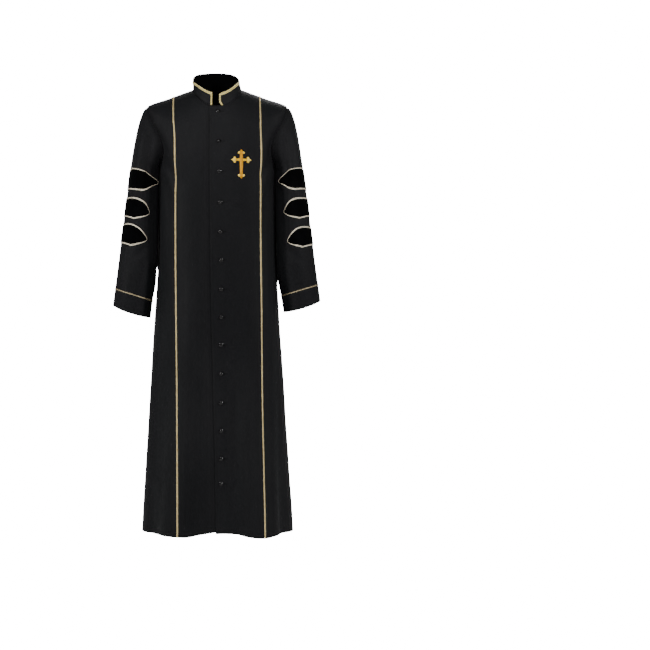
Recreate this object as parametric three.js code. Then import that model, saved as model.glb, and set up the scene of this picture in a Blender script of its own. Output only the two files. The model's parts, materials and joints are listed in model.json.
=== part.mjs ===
// Clergy robe: a floor-length black cassock, buttoned down the front, filled out as it hangs when worn, with no wearer.
// Millimetres, +Z up. The front of the robe faces -Y and the wearer's left is +X.
// The origin is the middle of the neck, level with the points where the shoulder seams meet the collar.
//
// Each cloth piece is a grid of points on the garment's outer surface, given a wall on its inner side.
// Neighbouring pieces share their seam points, so that their walls are mitred on the same line, and each
// is then drawn back from the seam by half of SEAM_GAP. Braid, velvet bars and the collar's trim are made
// from the points of the piece that they are sewn on, moved out by LAY_GAP.
import * as THREE from "three";
import { TessellateModifier } from "three/addons/modifiers/TessellateModifier.js";
import { mergeVertices } from "three/addons/utils/BufferGeometryUtils.js";

// ---- Driving dimensions ----
const CLOTH = 2; // wall of the gabardine, with its facing and hem turnings
const SEAM_GAP = 0.3; // between two pieces at a seam
const LAY_GAP = 0.4; // under a braid or a bar, above the cloth
const BRAID_THICK = 1.2;
const VELVET_THICK = 1.2;

const NECK_HALF = 76; // half the width of the neck, at the shoulder seams
const LAP_X = -22; // free edge of the left front, which buttons over the right one
const UNDERLAP_X = 24; // hidden edge of the right front
const LAP_STEP = CLOTH + 1.2; // the right front lies this much deeper under the left one
const LAP_RUN = 13; // width over which it steps down
const COLLAR_END = { left: 6, right: -16 }; // the collar leaves a tab gap between these
const COLLAR_BRAID = 8; // width of the braid round the collar
// The long braid on each front: how far beside centre its two edges stand at the shoulder, armpit and hem.
const STRIPE = {
  left: [{ neck: 129, skirt: 130, hem: 123.5 }, { neck: 135, skirt: 136, hem: 129.5 }],
  right: [{ neck: 133, skirt: 124, hem: 124 }, { neck: 139, skirt: 130, hem: 130 }],
};
const SIDE_COLUMNS = 5; // columns from the long braid to the side seam and armhole
const SKIRT_ROWS = 14; // rows from hem to armpit
const ARMHOLE_ROWS = 10; // rows from armpit to shoulder; the sleeve has twice as many columns
const LAST_ROW = SKIRT_ROWS + ARMHOLE_ROWS;
const ARMHOLE_BITE = { front: 30, back: 27 }; // degrees that the armhole reaches in from the side
const RIDGE_DROP = 1.4; // how a section falls away from the shoulder ridge towards front and back
const TURN = { top: -300, degrees: 3.5 }; // the skirt hangs a little turned, front towards the wearer's left

// The body, one row for each section. side: height at the side seam or, above the armpit, on the shoulder
// ridge. half: half the width. front, back: depths from the side seam's plane. frontZ, backZ: heights at the
// centre lines. square: 2 is an ellipse in plan, and more is squarer.
const BODY = [
  { name: "hem", side: -1366, half: 236, front: 168, back: 172, frontZ: -1366, backZ: -1366, square: 2.2 },
  { name: "knee", side: -1000, half: 212, front: 153, back: 156, frontZ: -1000, backZ: -1000, square: 2.25 },
  { name: "hip", side: -700, half: 194, front: 141, back: 142, frontZ: -700, backZ: -700, square: 2.3 },
  { name: "waist", side: -480, half: 183, front: 134, back: 129, frontZ: -480, backZ: -480, square: 2.35 },
  { name: "armpit", side: -240, half: 182, front: 128, back: 121, frontZ: -240, backZ: -240, square: 2.4 },
  { name: "shoulder tip", side: -52, half: 218, front: 102, back: 104, frontZ: -128, backZ: -92, square: 2.3 },
  { name: "mid shoulder", side: -22, half: 146, front: 93, back: 91, frontZ: -94, backZ: -38, square: 2.2 },
  { name: "neck", side: 4, half: NECK_HALF, front: 84, back: 72, frontZ: -60, backZ: 14, square: 2 },
];
const [HEM, ARMPIT, TIP, NECK] = [BODY[0], BODY[4], BODY[5], BODY[7]];

// The skirt's soft folds. at: degrees round from centre front, towards the wearer's left. depth: how far the
// cloth stands out (or in, below zero) at the hem. spread: half its width in degrees. top: height where it
// begins. lift: how far the hem rises there.
const FOLDS = [
  { at: 0, depth: -22, spread: 26, top: -520, lift: 10 },
  { at: 31, depth: 13, spread: 24, top: -640, lift: -6 },
  { at: -34, depth: 12, spread: 22, top: -600, lift: 0 },
  { at: 60, depth: -9, spread: 17, top: -760, lift: 0 },
  { at: -63, depth: -8, spread: 18, top: -820, lift: 0 },
  { at: 104, depth: -10, spread: 16, top: -780, lift: 0 },
  { at: -101, depth: -9, spread: 15, top: -720, lift: 0 },
  { at: 131, depth: 9, spread: 18, top: -700, lift: 0 },
  { at: -129, depth: 10, spread: 17, top: -760, lift: 0 },
];
// The deep inverted pleat at centre back.
const PLEAT = { top: -690, depth: 104, topHalf: 16, hemHalf: 44, lift: 15, grow: 1.25 };

// The sleeve, one row for each section. outer, outerZ: its outermost point. inner, innerZ: its point next to
// the body. front, back: half depths. forward: how far its middle lies before the side seam's plane.
const SLEEVE = [
  { name: "armhole", outerZ: -52, outer: 218, inner: 182, innerZ: -240, front: 64, back: 60, forward: 0 },
  { name: "cap top", outerZ: -57, outer: 225.5, inner: 184, innerZ: -240.8, front: 66, back: 63, forward: 0 },
  { name: "cap", outerZ: -66, outer: 231.5, inner: 185, innerZ: -242.5, front: 68, back: 66, forward: 0 },
  { name: "cap side", outerZ: -108, outer: 246, inner: 185.4, innerZ: -247, front: 73, back: 72, forward: 1 },
  { name: "cap base", outerZ: -173, outer: 260, inner: 185.6, innerZ: -254.5, front: 77, back: 78, forward: 2 },
  { name: "biceps", outerZ: -242, outer: 270.5, inner: 185.6, innerZ: -264.5, front: 78, back: 81, forward: 3 },
  { name: "elbow", outerZ: -388, outer: 289, inner: 186, innerZ: -415, front: 72, back: 75, forward: 4 },
  { name: "forearm", outerZ: -545, outer: 308, inner: 190, innerZ: -577, front: 63, back: 65, forward: 7 },
  { name: "cuff braid", outerZ: -614, outer: 317, inner: 201, innerZ: -645, front: 60, back: 61, forward: 9 },
  { name: "cuff edge", outerZ: -666, outer: 324, inner: 208.5, innerZ: -697, front: 59, back: 59, forward: 10 },
];
const SLEEVE_SQUARE = 2.15;
const CAP_RINGS = [-57, -66, -84, -108, -138, -173, -207];
const SLEEVE_DIP = { back: 14, cuff: 6 }; // a section dips at its back, and at the cuff all along
// The right sleeve hangs a little wider than the left one and lower at the cuff, and its sections lean more.
const HANG_START = -418;
const SLEEVE_HANG = { left: { reach: -2.5, drop: -11, lean: 4 }, right: { reach: 0, drop: 3, lean: 7 } };

// Velvet bars round each sleeve, by the height of their edges on the sleeve's outer line. low: how far down the bar
// its points are. baseRun: degrees over which the lower edge runs out to the point. crown: how far the upper edge
// arches up between the outer line and the point. For each sleeve, points: degrees from the outer line to the bar's
// points, and lower: how much further down the bar is sewn.
const BARS = [
  { top: -247, base: -311, low: 0.48, baseRun: 66, crown: 5, left: { points: 150, lower: 0 }, right: { points: 157, lower: 0 } },
  { top: -338.5, base: -393.5, low: 0.4, baseRun: 58, crown: 6, left: { points: 128, lower: 0 }, right: { points: 127, lower: 0 } },
  { top: -422, base: -476, low: 0.35, baseRun: 50, crown: 11, left: { points: 118, lower: 7.5 }, right: { points: 119, lower: -1 } },
];
const barsOf = (side) =>
  BARS.map((bar) => ({
    ...bar,
    points: bar[side].points,
    top: bar.top - bar[side].lower,
    base: bar.base - bar[side].lower,
  }));
const BAR_BRAID = 4.6;
const BAR_POINT = { topRun: 50, roundness: 0.5, sweep: 1.35, arch: 0.6, runs: [3, 8, 14, 22] }; // in degrees
const BAR_GAP = 0.7; // under the bars and their braid
const BAR_TIP = 0.04; // the point is blunt, this share of the bar's height
const CUFF_BRAID = { top: -612.5, base: -617 };

// The collar's upper edge, which stands x to the side of the neck, and how much of its height its free ends keep.
const COLLAR_TOP = {
  x: -4, half: 71.5, front: 80, back: 63, frontZ: -20, sideZ: 26, backZ: 67, fall: 2.1, rise: 0.5,
};
const COLLAR_ROWS = 3;
const COLLAR_CORNER = { left: [0.88, 1], right: [1, 1] };

const BUTTON = { radius: 6.3, height: 4.6, rim: 1.4, sides: 10, x: 2.5, gap: 0.4 };
const BUTTON_HEIGHTS = [-77, -172, -265, -359, -448, -534, -622, -706, -790, -877, -965, -1049, -1133, -1208];
const BUTTON_DRIFT = 9; // the row moves this much towards the wearer's left on its way down

const CROSS = {
  x: 73, z: -228, width: 64, height: 92, stem: 12, arm: 9.5, armFall: 33, bud: 7.2, mesh: 11, thick: 1.2, gap: 0.7,
};

const COLOURS = {
  cloth: { color: 0x1d1d1f, roughness: 0.85, metalness: 0 },
  velvet: { color: 0x050506, roughness: 1, metalness: 0 },
  braid: { color: 0xb9a26a, roughness: 0.5, metalness: 0.4 },
  gold: { color: 0xc8892a, roughness: 0.45, metalness: 0.4 },
  button: { color: 0x101012, roughness: 0.25, metalness: 0 },
};

// ---- Numbers ----
const radians = THREE.MathUtils.degToRad;
const mix = THREE.MathUtils.lerp;
const share = (value, from, to) => THREE.MathUtils.clamp((value - from) / (to - from), 0, 1);
const smooth = (t) => t * t * (3 - 2 * t);
const power = (base, exponent) => Math.sign(base) * Math.abs(base) ** exponent;

/** A smooth curve through a table's column that doesn't overshoot it, read at a value of the key column. */
function through(table, key, column) {
  const rows = [...table].sort((a, b) => a[key] - b[key]);
  const slope = (i) => (rows[i + 1][column] - rows[i][column]) / (rows[i + 1][key] - rows[i][key]);
  const tangent = rows.map((row, i) => {
    if (i === 0) return slope(0);
    if (i === rows.length - 1) return slope(i - 1);
    const [before, after] = [slope(i - 1), slope(i)];
    return before * after <= 0 ? 0 : (2 * before * after) / (before + after);
  });
  return (at) => {
    let i = 0;
    while (i < rows.length - 2 && at > rows[i + 1][key]) i += 1;
    const step = rows[i + 1][key] - rows[i][key];
    const t = THREE.MathUtils.clamp((at - rows[i][key]) / step, 0, 1);
    const [a, b] = [rows[i][column], rows[i + 1][column]];
    const rise = (1 + 2 * t) * (1 - t) ** 2 * a + t * t * (3 - 2 * t) * b;
    return rise + t * (1 - t) ** 2 * step * tangent[i] - t * t * (1 - t) * step * tangent[i + 1];
  };
}

const bodyAt = Object.fromEntries(
  ["half", "front", "back", "frontZ", "backZ", "square"].map((column) => [column, through(BODY, "side", column)]),
);
const sleeveAt = Object.fromEntries(
  ["outer", "inner", "innerZ", "front", "back", "forward"].map((column) => [
    column,
    through(SLEEVE, "outerZ", column),
  ]),
);

// ---- The body's surface ----
/** How far round the body, in radians from centre front, a line lies that stands x to the side at a level. */
function angleOf(x, level) {
  const across = THREE.MathUtils.clamp(x / bodyAt.half(level), -1, 1);
  return Math.asin(power(across, bodyAt.square(level) / 2));
}

/** The skirt's folds at an angle and a level: how far out the cloth stands, and how far it is lifted. */
function folded(angle, level) {
  let [out, lift] = [0, 0];
  for (const fold of FOLDS) {
    const off = Math.abs(THREE.MathUtils.euclideanModulo(angle - radians(fold.at) + Math.PI, 2 * Math.PI) - Math.PI);
    const window = 0.5 + 0.5 * Math.cos(Math.PI * share(off, 0, radians(fold.spread)));
    const grown = share(level, fold.top, HEM.side) ** 1.3;
    out += fold.depth * window * grown;
    lift += fold.lift * window * grown ** 3;
  }
  return { out, lift };
}

/** A point of the body's outer surface, at an angle round from centre front on the section of a level. */
function bodyPoint(angle, level) {
  const turned = angle + radians(TURN.degrees) * smooth(share(level, TURN.top, HEM.side));
  const [sine, cosine] = [Math.sin(turned), Math.cos(turned)];
  const facing = cosine >= 0 ? "front" : "back";
  const [half, depth] = [bodyAt.half(level), bodyAt[facing](level)];
  const round = 2 / bodyAt.square(level);
  const point = new THREE.Vector3(half * power(sine, round), -depth * power(cosine, round), 0);
  const fall = bodyAt[facing + "Z"](level) - level;
  const { out, lift } = folded(angle, level);
  const away = new THREE.Vector3(point.x / half ** 2, point.y / depth ** 2, 0).normalize();
  point.addScaledVector(away, out);
  point.z = level + fall * Math.abs(cosine) ** RIDGE_DROP + lift;
  return point;
}

/** The centre-back pleat: moves a point of the back into the body, x being its distance from centre back. */
function pleated(point, x, level) {
  const grown = share(level, PLEAT.top, HEM.side) ** PLEAT.grow;
  const width = mix(PLEAT.topHalf, PLEAT.hemHalf, grown);
  const window = 0.5 + 0.5 * Math.cos(Math.PI * share(x, 0, width));
  point.y -= PLEAT.depth * grown * window;
  point.z += PLEAT.lift * grown ** 3 * window;
  return point;
}

/** The level on the shoulder ridge whose section is as wide as x. */
function ridgeLevel(x) {
  let [low, high] = [TIP.side, NECK.side];
  for (let i = 0; i < 40; i += 1) {
    const middle = (low + high) / 2;
    if (bodyAt.half(middle) > x) low = middle;
    else high = middle;
  }
  return (low + high) / 2;
}

/** How far beside centre a panel's column stands, at a row counted from the hem. */
function standing({ neck, skirt, hem = skirt }, row) {
  return row < SKIRT_ROWS ? mix(hem, skirt, row / SKIRT_ROWS) : mix(skirt, neck, smooth(share(row, SKIRT_ROWS, LAST_ROW)));
}

/** Angle and level of a panel's point: on the line at x beside centre, at a row counted from the hem. */
function onLine(x, row) {
  if (row <= SKIRT_ROWS) {
    const level = mix(HEM.side, ARMPIT.side, row / SKIRT_ROWS);
    return [angleOf(x, level), level];
  }
  const top = x > NECK_HALF ? ridgeLevel(x) : NECK.side;
  const closer = 1 + 0.8 * smooth(share(x, 30, 100));
  const level = mix(ARMPIT.side, top, 1 - (1 - (row - SKIRT_ROWS) / ARMHOLE_ROWS) ** closer);
  return [angleOf(x, level), level];
}

/** Angle and level of a panel's outer edge: the side seam, and above it the armhole. */
function onOuterEdge(row, bite) {
  if (row <= SKIRT_ROWS) return [Math.PI / 2, mix(HEM.side, ARMPIT.side, row / SKIRT_ROWS)];
  const round = (Math.PI * (row - SKIRT_ROWS)) / ARMHOLE_ROWS;
  return [Math.PI / 2 - radians(bite) * Math.sin(round), mix(ARMPIT.side, TIP.side, (1 - Math.cos(round)) / 2)];
}

/**
 * A front or back panel's outer surface, as rows of points from hem to top. Its columns stand at the given
 * distances from centre and then run out to the side seam and armhole. side is 1 for the wearer's left.
 */
function panelGrid({ columns, side, facing, sink = () => 0, liftScale = 1 }) {
  const rows = [];
  const standings = [...columns, ...(side > 0 ? STRIPE.left : STRIPE.right)];
  for (let row = 0; row <= LAST_ROW; row += 1) {
    const edge = onOuterEdge(row, ARMHOLE_BITE[facing]);
    const places = standings.map((column) => [...onLine(standing(column, row), row), standing(column, row)]);
    const last = places[places.length - 1];
    for (let i = 1; i <= SIDE_COLUMNS; i += 1) {
      const along = i / SIDE_COLUMNS;
      places.push([mix(last[0], edge[0], along), mix(last[1], edge[1], along), Infinity]);
    }
    rows.push(
      places.map(([angle, level, x]) => {
        const about = facing === "front" ? angle : Math.PI - angle;
        const point = bodyPoint(side * about, level);
        if (facing === "back") return pleated(point, x, level);
        const inward = new THREE.Vector3(-point.x, -point.y, 0).normalize();
        point.addScaledVector(inward, sink(x));
        point.z -= (1 - liftScale) * folded(side * about, level).lift;
        return point;
      }),
    );
  }
  return rows;
}

// ---- Cloth walls ----
/** Calls back for each triangle of a grid's cell, its corners in order as seen from outside. */
const CELL = [
  [[0, 0], [0, 1], [1, 1]],
  [[0, 0], [1, 1], [1, 0]],
];

/** One piece's outer surface: a grid of points, which way round it faces, and whether its columns join up. */
function surface(points, { flipped = false, wrapped = false } = {}) {
  const [height, width] = [points.length, points[0].length];
  const column = (j) => (wrapped ? THREE.MathUtils.euclideanModulo(j, width) : j);
  return { points, height, width, flipped, wrapped, column, at: (i, j) => points[i][column(j)] };
}

const keyOf = (point) => [point.x, point.y, point.z].map((value) => Math.round(value * 500)).join(",");

/**
 * For every point of the given surfaces, the direction and length by which a wall one millimetre thick is
 * offset there. Points that pieces share get one value, so that their walls meet on one mitre.
 */
function offsets(surfaces) {
  const faces = new Map();
  for (const s of surfaces) {
    for (let i = 0; i < s.height - 1; i += 1) {
      for (let j = 0; j < s.width - (s.wrapped ? 0 : 1); j += 1) {
        for (const cell of CELL) {
          const [a, b, c] = cell.map(([di, dj]) => s.at(i + di, j + dj));
          const normal = b.clone().sub(a).cross(c.clone().sub(a));
          if (s.flipped) normal.negate();
          for (const point of [a, b, c]) {
            const key = keyOf(point);
            if (!faces.has(key)) faces.set(key, []);
            faces.get(key).push(normal);
          }
        }
      }
    }
  }
  const made = new Map();
  for (const [key, normals] of faces) {
    const mean = normals.reduce((sum, n) => sum.add(n.clone().normalize()), new THREE.Vector3()).normalize();
    const spread = normals.reduce((sum, n) => sum + mean.dot(n.clone().normalize()), 0) / normals.length;
    made.set(key, mean.multiplyScalar(1 / Math.max(spread, 0.6)));
  }
  return made;
}

/** The points of a surface moved out by a distance, or in when it is below zero. */
const movedOut = (s, offset, distance) =>
  s.points.map((row) => row.map((point) => point.clone().addScaledVector(offset.get(keyOf(point)), distance)));

/** For each edge point, the step that draws the piece back from its seams; edges is a list of sides. */
function drawnBack(s, edges) {
  const [lastRow, lastColumn] = [s.height - 1, s.width - 1];
  const step = s.points.map((row) => row.map(() => new THREE.Vector3()));
  const pull = (i, j, inI, inJ, alongI, alongJ) => {
    const clampRow = (value) => THREE.MathUtils.clamp(value, 0, lastRow);
    const clampColumn = (value) => (s.wrapped ? value : THREE.MathUtils.clamp(value, 0, lastColumn));
    const before = s.at(clampRow(i - alongI), clampColumn(j - alongJ));
    const after = s.at(clampRow(i + alongI), clampColumn(j + alongJ));
    const along = after.clone().sub(before).normalize();
    const inwards = s.at(i + inI, j + inJ).clone().sub(s.at(i, j));
    inwards.addScaledVector(along, -inwards.dot(along)).normalize();
    step[i][j].addScaledVector(inwards, SEAM_GAP / 2);
  };
  for (let j = 0; j < s.width; j += 1) {
    if (edges.includes("base")) pull(0, j, 1, 0, 0, 1);
    if (edges.includes("top")) pull(lastRow, j, -1, 0, 0, 1);
  }
  for (let i = 0; i < s.height; i += 1) {
    if (edges.includes("first")) pull(i, 0, 0, 1, 1, 0);
    if (edges.includes("last")) pull(i, lastColumn, 0, -1, 1, 0);
  }
  return step;
}

const stepped = (grid, step) => grid.map((row, i) => row.map((point, j) => point.clone().add(step[i][j])));

/** A closed geometry between two like grids, over the cells that keep names, walled round their free edges. */
function between(s, outer, inner, keep = () => true) {
  const kept = (i, j) => {
    if (i < 0 || i >= s.height - 1) return false;
    if (!s.wrapped && (j < 0 || j >= s.width - 1)) return false;
    return keep(i, s.column(j));
  };
  const corners = [];
  const triangle = (a, b, c) => corners.push(...(s.flipped ? [a, c, b] : [a, b, c]));
  const quad = (a, b, c, d) => {
    triangle(a, b, c);
    triangle(a, c, d);
  };
  const [out, into] = [outer, inner].map((grid) => (i, j) => grid[i][s.column(j)]);
  // A free edge's wall, from one point to the next; it is split from the higher point, as its neighbour's is.
  const edge = (a, b) => {
    const rise = s.at(...a).z - s.at(...b).z || s.at(...a).y - s.at(...b).y;
    if (rise > 0) quad(out(...a), into(...a), into(...b), out(...b));
    else quad(out(...b), out(...a), into(...a), into(...b));
  };
  for (let i = 0; i < s.height - 1; i += 1) {
    for (let j = 0; j < s.width - (s.wrapped ? 0 : 1); j += 1) {
      if (!kept(i, j)) continue;
      for (const cell of CELL) {
        const [a, b, c] = cell.map(([di, dj]) => [i + di, j + dj]);
        triangle(out(...a), out(...b), out(...c));
        triangle(into(...a), into(...c), into(...b));
      }
      if (!kept(i - 1, j)) edge([i, j], [i, j + 1]);
      if (!kept(i + 1, j)) edge([i + 1, j + 1], [i + 1, j]);
      if (!kept(i, j - 1)) edge([i + 1, j], [i, j]);
      if (!kept(i, j + 1)) edge([i, j + 1], [i + 1, j + 1]);
    }
  }
  return new THREE.BufferGeometry().setFromPoints(corners);
}

/** A cloth piece: its surface with a wall inside, drawn back from the seams that it has. */
function clothWall(s, offset, seams) {
  const step = drawnBack(s, seams);
  return between(s, stepped(s.points, step), stepped(movedOut(s, offset, -CLOTH), step));
}

/** Something flat sewn on a piece: the cells that keep names, moved out by the gap under it. */
function sewnOn(s, offset, thick, keep) {
  return between(s, movedOut(s, offset, LAY_GAP + thick), movedOut(s, offset, LAY_GAP), keep);
}

const group = new THREE.Group();

function add(name, geometry, finish) {
  geometry.computeVertexNormals();
  const mesh = new THREE.Mesh(geometry, new THREE.MeshStandardMaterial(COLOURS[finish]));
  mesh.name = name;
  group.add(mesh);
}

// ---- Surfaces of the body panels ----
const LEFT_COLUMNS = [
  { neck: LAP_X, skirt: LAP_X },
  { neck: COLLAR_END.right, skirt: COLLAR_END.right },
  { neck: -6, skirt: -6 },
  { neck: COLLAR_END.left, skirt: COLLAR_END.left },
  { neck: COLLAR_END.left + COLLAR_BRAID, skirt: COLLAR_END.left + COLLAR_BRAID },
  { neck: 25, skirt: 27 },
  { neck: 40, skirt: 47 },
  { neck: 54, skirt: 69 },
  { neck: 66, skirt: 90 },
  { neck: 73.6, skirt: 106 },
  { neck: NECK_HALF, skirt: 118 },
];
const RIGHT_COLUMNS = [
  { neck: -UNDERLAP_X, skirt: -UNDERLAP_X },
  { neck: -14, skirt: -14 },
  { neck: -COLLAR_END.left, skirt: -COLLAR_END.left },
  { neck: 6, skirt: 6 },
  { neck: -COLLAR_END.right, skirt: -COLLAR_END.right },
  { neck: -COLLAR_END.right + COLLAR_BRAID, skirt: -COLLAR_END.right + COLLAR_BRAID },
  { neck: -LAP_X + LAP_RUN, skirt: -LAP_X + LAP_RUN },
  { neck: 46.5, skirt: 55 },
  { neck: 57, skirt: 73 },
  { neck: 67.5, skirt: 91 },
  { neck: 74, skirt: 106 },
  { neck: NECK_HALF, skirt: 118 },
];
const BACK_COLUMNS = [
  { neck: 0, skirt: 0 },
  { neck: 8, skirt: 6.5 },
  { neck: 16, skirt: 13 },
  { neck: 25, skirt: 20 },
  { neck: 34, skirt: 28 },
  { neck: 43, skirt: 37 },
  { neck: 52, skirt: 48 },
  { neck: 61, skirt: 65 },
  { neck: 68.5, skirt: 86 },
  { neck: 74, skirt: 105 },
  { neck: NECK_HALF, skirt: 118 },
];

const sinkOfUnderlap = (x) => LAP_STEP * (1 - smooth(share(x, -LAP_X + 2, -LAP_X + LAP_RUN)));
const leftFront = surface(
  panelGrid({ columns: LEFT_COLUMNS, side: 1, facing: "front", liftScale: 0.8 }),
);
const rightFront = surface(
  panelGrid({
    columns: RIGHT_COLUMNS,
    side: -1,
    facing: "front",
    sink: sinkOfUnderlap,
    liftScale: 1.3,
  }),
  { flipped: true },
);
const leftBack = surface(panelGrid({ columns: BACK_COLUMNS, side: 1, facing: "back" }), { flipped: true });
const rightBack = surface(panelGrid({ columns: BACK_COLUMNS, side: -1, facing: "back" }));

// ---- Sleeves ----
const SLEEVE_COLUMNS = 2 * ARMHOLE_ROWS;
const ringsOf = (side) => [
  TIP.side,
  ...CAP_RINGS,
  ...barsOf(side).flatMap((bar) => [bar.top, bar.top - BAR_BRAID, bar.base + BAR_BRAID, bar.base]),
  -516,
  -563,
  CUFF_BRAID.top,
  CUFF_BRAID.base,
  -642,
  SLEEVE[SLEEVE.length - 1].outerZ,
];

/** A point of a sleeve's plain section: round from its outer line, by the height of that line. */
function sleeveSection(round, outerZ) {
  const [outer, inner] = [sleeveAt.outer(outerZ), sleeveAt.inner(outerZ)];
  const [cosine, sine] = [power(Math.cos(round), 2 / SLEEVE_SQUARE), power(Math.sin(round), 2 / SLEEVE_SQUARE)];
  const depth = sine > 0 ? sleeveAt.front(outerZ) : sleeveAt.back(outerZ);
  const [cap, biceps, braid, edge] = [SLEEVE[0], SLEEVE[5], SLEEVE[8], SLEEVE[9]].map((row) => row.outerZ);
  const back = SLEEVE_DIP.back * smooth(share(outerZ, cap, biceps)) * (1 - smooth(share(outerZ, biceps, braid)));
  const dip = SLEEVE_DIP.cuff * share(outerZ, braid, edge) + (sine < 0 ? back : 0);
  return new THREE.Vector3(
    mix(inner, outer, (1 + cosine) / 2),
    -sleeveAt.forward(outerZ) - depth * sine,
    mix(sleeveAt.innerZ(outerZ), outerZ, (1 + cosine) / 2) - dip * sine * sine,
  );
}

/** A sleeve's outer surface, as rings from the armhole to the cuff; its first ring is the body's armhole. */
function sleeveGrid(front, back, side) {
  const hang = side > 0 ? SLEEVE_HANG.left : SLEEVE_HANG.right;
  const armhole = [];
  for (let j = 0; j < SLEEVE_COLUMNS; j += 1) {
    const panel = j <= ARMHOLE_ROWS ? front : back;
    const row = SKIRT_ROWS + Math.abs(ARMHOLE_ROWS - j);
    armhole.push(panel.at(row, panel.width - 1));
  }
  return ringsOf(side > 0 ? "left" : "right").map((outerZ, ring) =>
    armhole.map((edge, j) => {
      if (ring === 0) return edge.clone();
      const round = (Math.PI * j) / ARMHOLE_ROWS;
      const [plain, start] = [sleeveSection(round, outerZ), sleeveSection(round, TIP.side)];
      const hung = smooth(share(outerZ, HANG_START, SLEEVE[9].outerZ));
      const fade = (1 - share(outerZ, TIP.side, SLEEVE[5].outerZ)) ** 2.2;
      plain.x = (plain.x + hang.reach * (1 - fade)) * side;
      plain.z -= hang.drop * hung + (hang.lean * (1 - fade) * (1 - Math.cos(round))) / 2;
      start.x *= side;
      return plain.addScaledVector(edge.clone().sub(start), fade);
    }),
  );
}

const leftSleeve = surface(sleeveGrid(leftFront, leftBack, 1), { wrapped: true });
const rightSleeve = surface(sleeveGrid(rightFront, rightBack, -1), { wrapped: true, flipped: true });

// ---- Collar ----
/** The collar's outer surface, as rows from the neck seam to its upper edge, round from the right end. */
function collarGrid() {
  const topOf = (panel) => panel.points[panel.height - 1];
  const neckOf = (panel, columns, end) => {
    const from = columns.findIndex((column) => column.neck === end);
    return topOf(panel).slice(from, columns.length);
  };
  const seam = [
    ...neckOf(rightFront, RIGHT_COLUMNS, -COLLAR_END.right),
    ...neckOf(rightBack, BACK_COLUMNS, 0).reverse().slice(1),
    ...neckOf(leftBack, BACK_COLUMNS, 0).slice(1),
    ...neckOf(leftFront, LEFT_COLUMNS, COLLAR_END.left).reverse().slice(1),
  ];
  const { x, half, front, back, frontZ, sideZ, backZ, fall, rise } = COLLAR_TOP;
  const upper = seam.map((point, k) => {
    const round = Math.atan2(point.x / NECK_HALF, -point.y / (point.y < 0 ? NECK.front : NECK.back));
    const cosine = Math.cos(round);
    const level = cosine > 0 ? mix(sideZ, frontZ, cosine ** fall) : mix(sideZ, backZ, (-cosine) ** rise);
    const aside = x * Math.sin(round) ** 2;
    const edge = new THREE.Vector3(half * Math.sin(round) + aside, -(cosine > 0 ? front : back) * cosine, level);
    const fromEnds = [COLLAR_CORNER.right[k], COLLAR_CORNER.left[seam.length - 1 - k]];
    return point.clone().lerp(edge, Math.min(...fromEnds.map((kept) => kept ?? 1)));
  });
  const rows = [];
  for (let row = 0; row < COLLAR_ROWS; row += 1) {
    rows.push(
      seam.map((point, k) => {
        const height = upper[k].distanceTo(point);
        return point.clone().lerp(upper[k], (row / (COLLAR_ROWS - 1)) * (1 - COLLAR_BRAID / height));
      }),
    );
  }
  return [...rows, upper];
}

const collar = surface(collarGrid(), { flipped: true });

// ---- The cloth pieces ----
const offset = offsets([leftFront, rightFront, leftBack, rightBack, leftSleeve, rightSleeve, collar]);
const PANEL_SEAMS = ["top", "last"];
add("front_left", clothWall(leftFront, offset, PANEL_SEAMS), "cloth");
add("front_right", clothWall(rightFront, offset, PANEL_SEAMS), "cloth");
add("back_left", clothWall(leftBack, offset, [...PANEL_SEAMS, "first"]), "cloth");
add("back_right", clothWall(rightBack, offset, [...PANEL_SEAMS, "first"]), "cloth");
add("sleeve_left", clothWall(leftSleeve, offset, ["base"]), "cloth");
add("sleeve_right", clothWall(rightSleeve, offset, ["base"]), "cloth");
add("collar", clothWall(collar, offset, ["base"]), "cloth");

// ---- Braid ----
const lastCell = collar.width - 2;
const aroundCollar = (i, j) => i === COLLAR_ROWS - 1 || j === 0 || j === lastCell;
add("collar_braid", sewnOn(collar, offset, BRAID_THICK, aroundCollar), "braid");

for (const [name, panel, columns] of [
  ["stripe_left", leftFront, LEFT_COLUMNS],
  ["stripe_right", rightFront, RIGHT_COLUMNS],
]) {
  add(name, sewnOn(panel, offset, BRAID_THICK, (i, j) => j === columns.length), "braid");
}

const cuffRing = ringsOf("left").indexOf(CUFF_BRAID.top);
for (const [name, sleeve] of [["cuff_braid_left", leftSleeve], ["cuff_braid_right", rightSleeve]]) {
  add(name, sewnOn(sleeve, offset, BRAID_THICK, (i) => i === cuffRing), "braid");
}

// ---- Velvet bars on the sleeves ----
/** Edges of a bar, as heights on the sleeve's outer line, at degrees round from that line. */
function barEdges(bar, degrees) {
  const toPoint = Math.max(0, bar.points - Math.abs(degrees));
  const height = bar.top - bar.base;
  const point = bar.top - height * bar.low;
  const upper = share(toPoint, 0, BAR_POINT.topRun) ** BAR_POINT.roundness;
  const lower = 1 - (1 - share(toPoint, 0, bar.baseRun)) ** BAR_POINT.sweep;
  const blunt = BAR_TIP * height;
  const arch = bar.crown * Math.sin(Math.PI * share(toPoint, 0, bar.points)) ** BAR_POINT.arch;
  return [mix(point + blunt, bar.top, upper) + arch, mix(point - blunt, bar.base, lower)];
}

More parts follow.
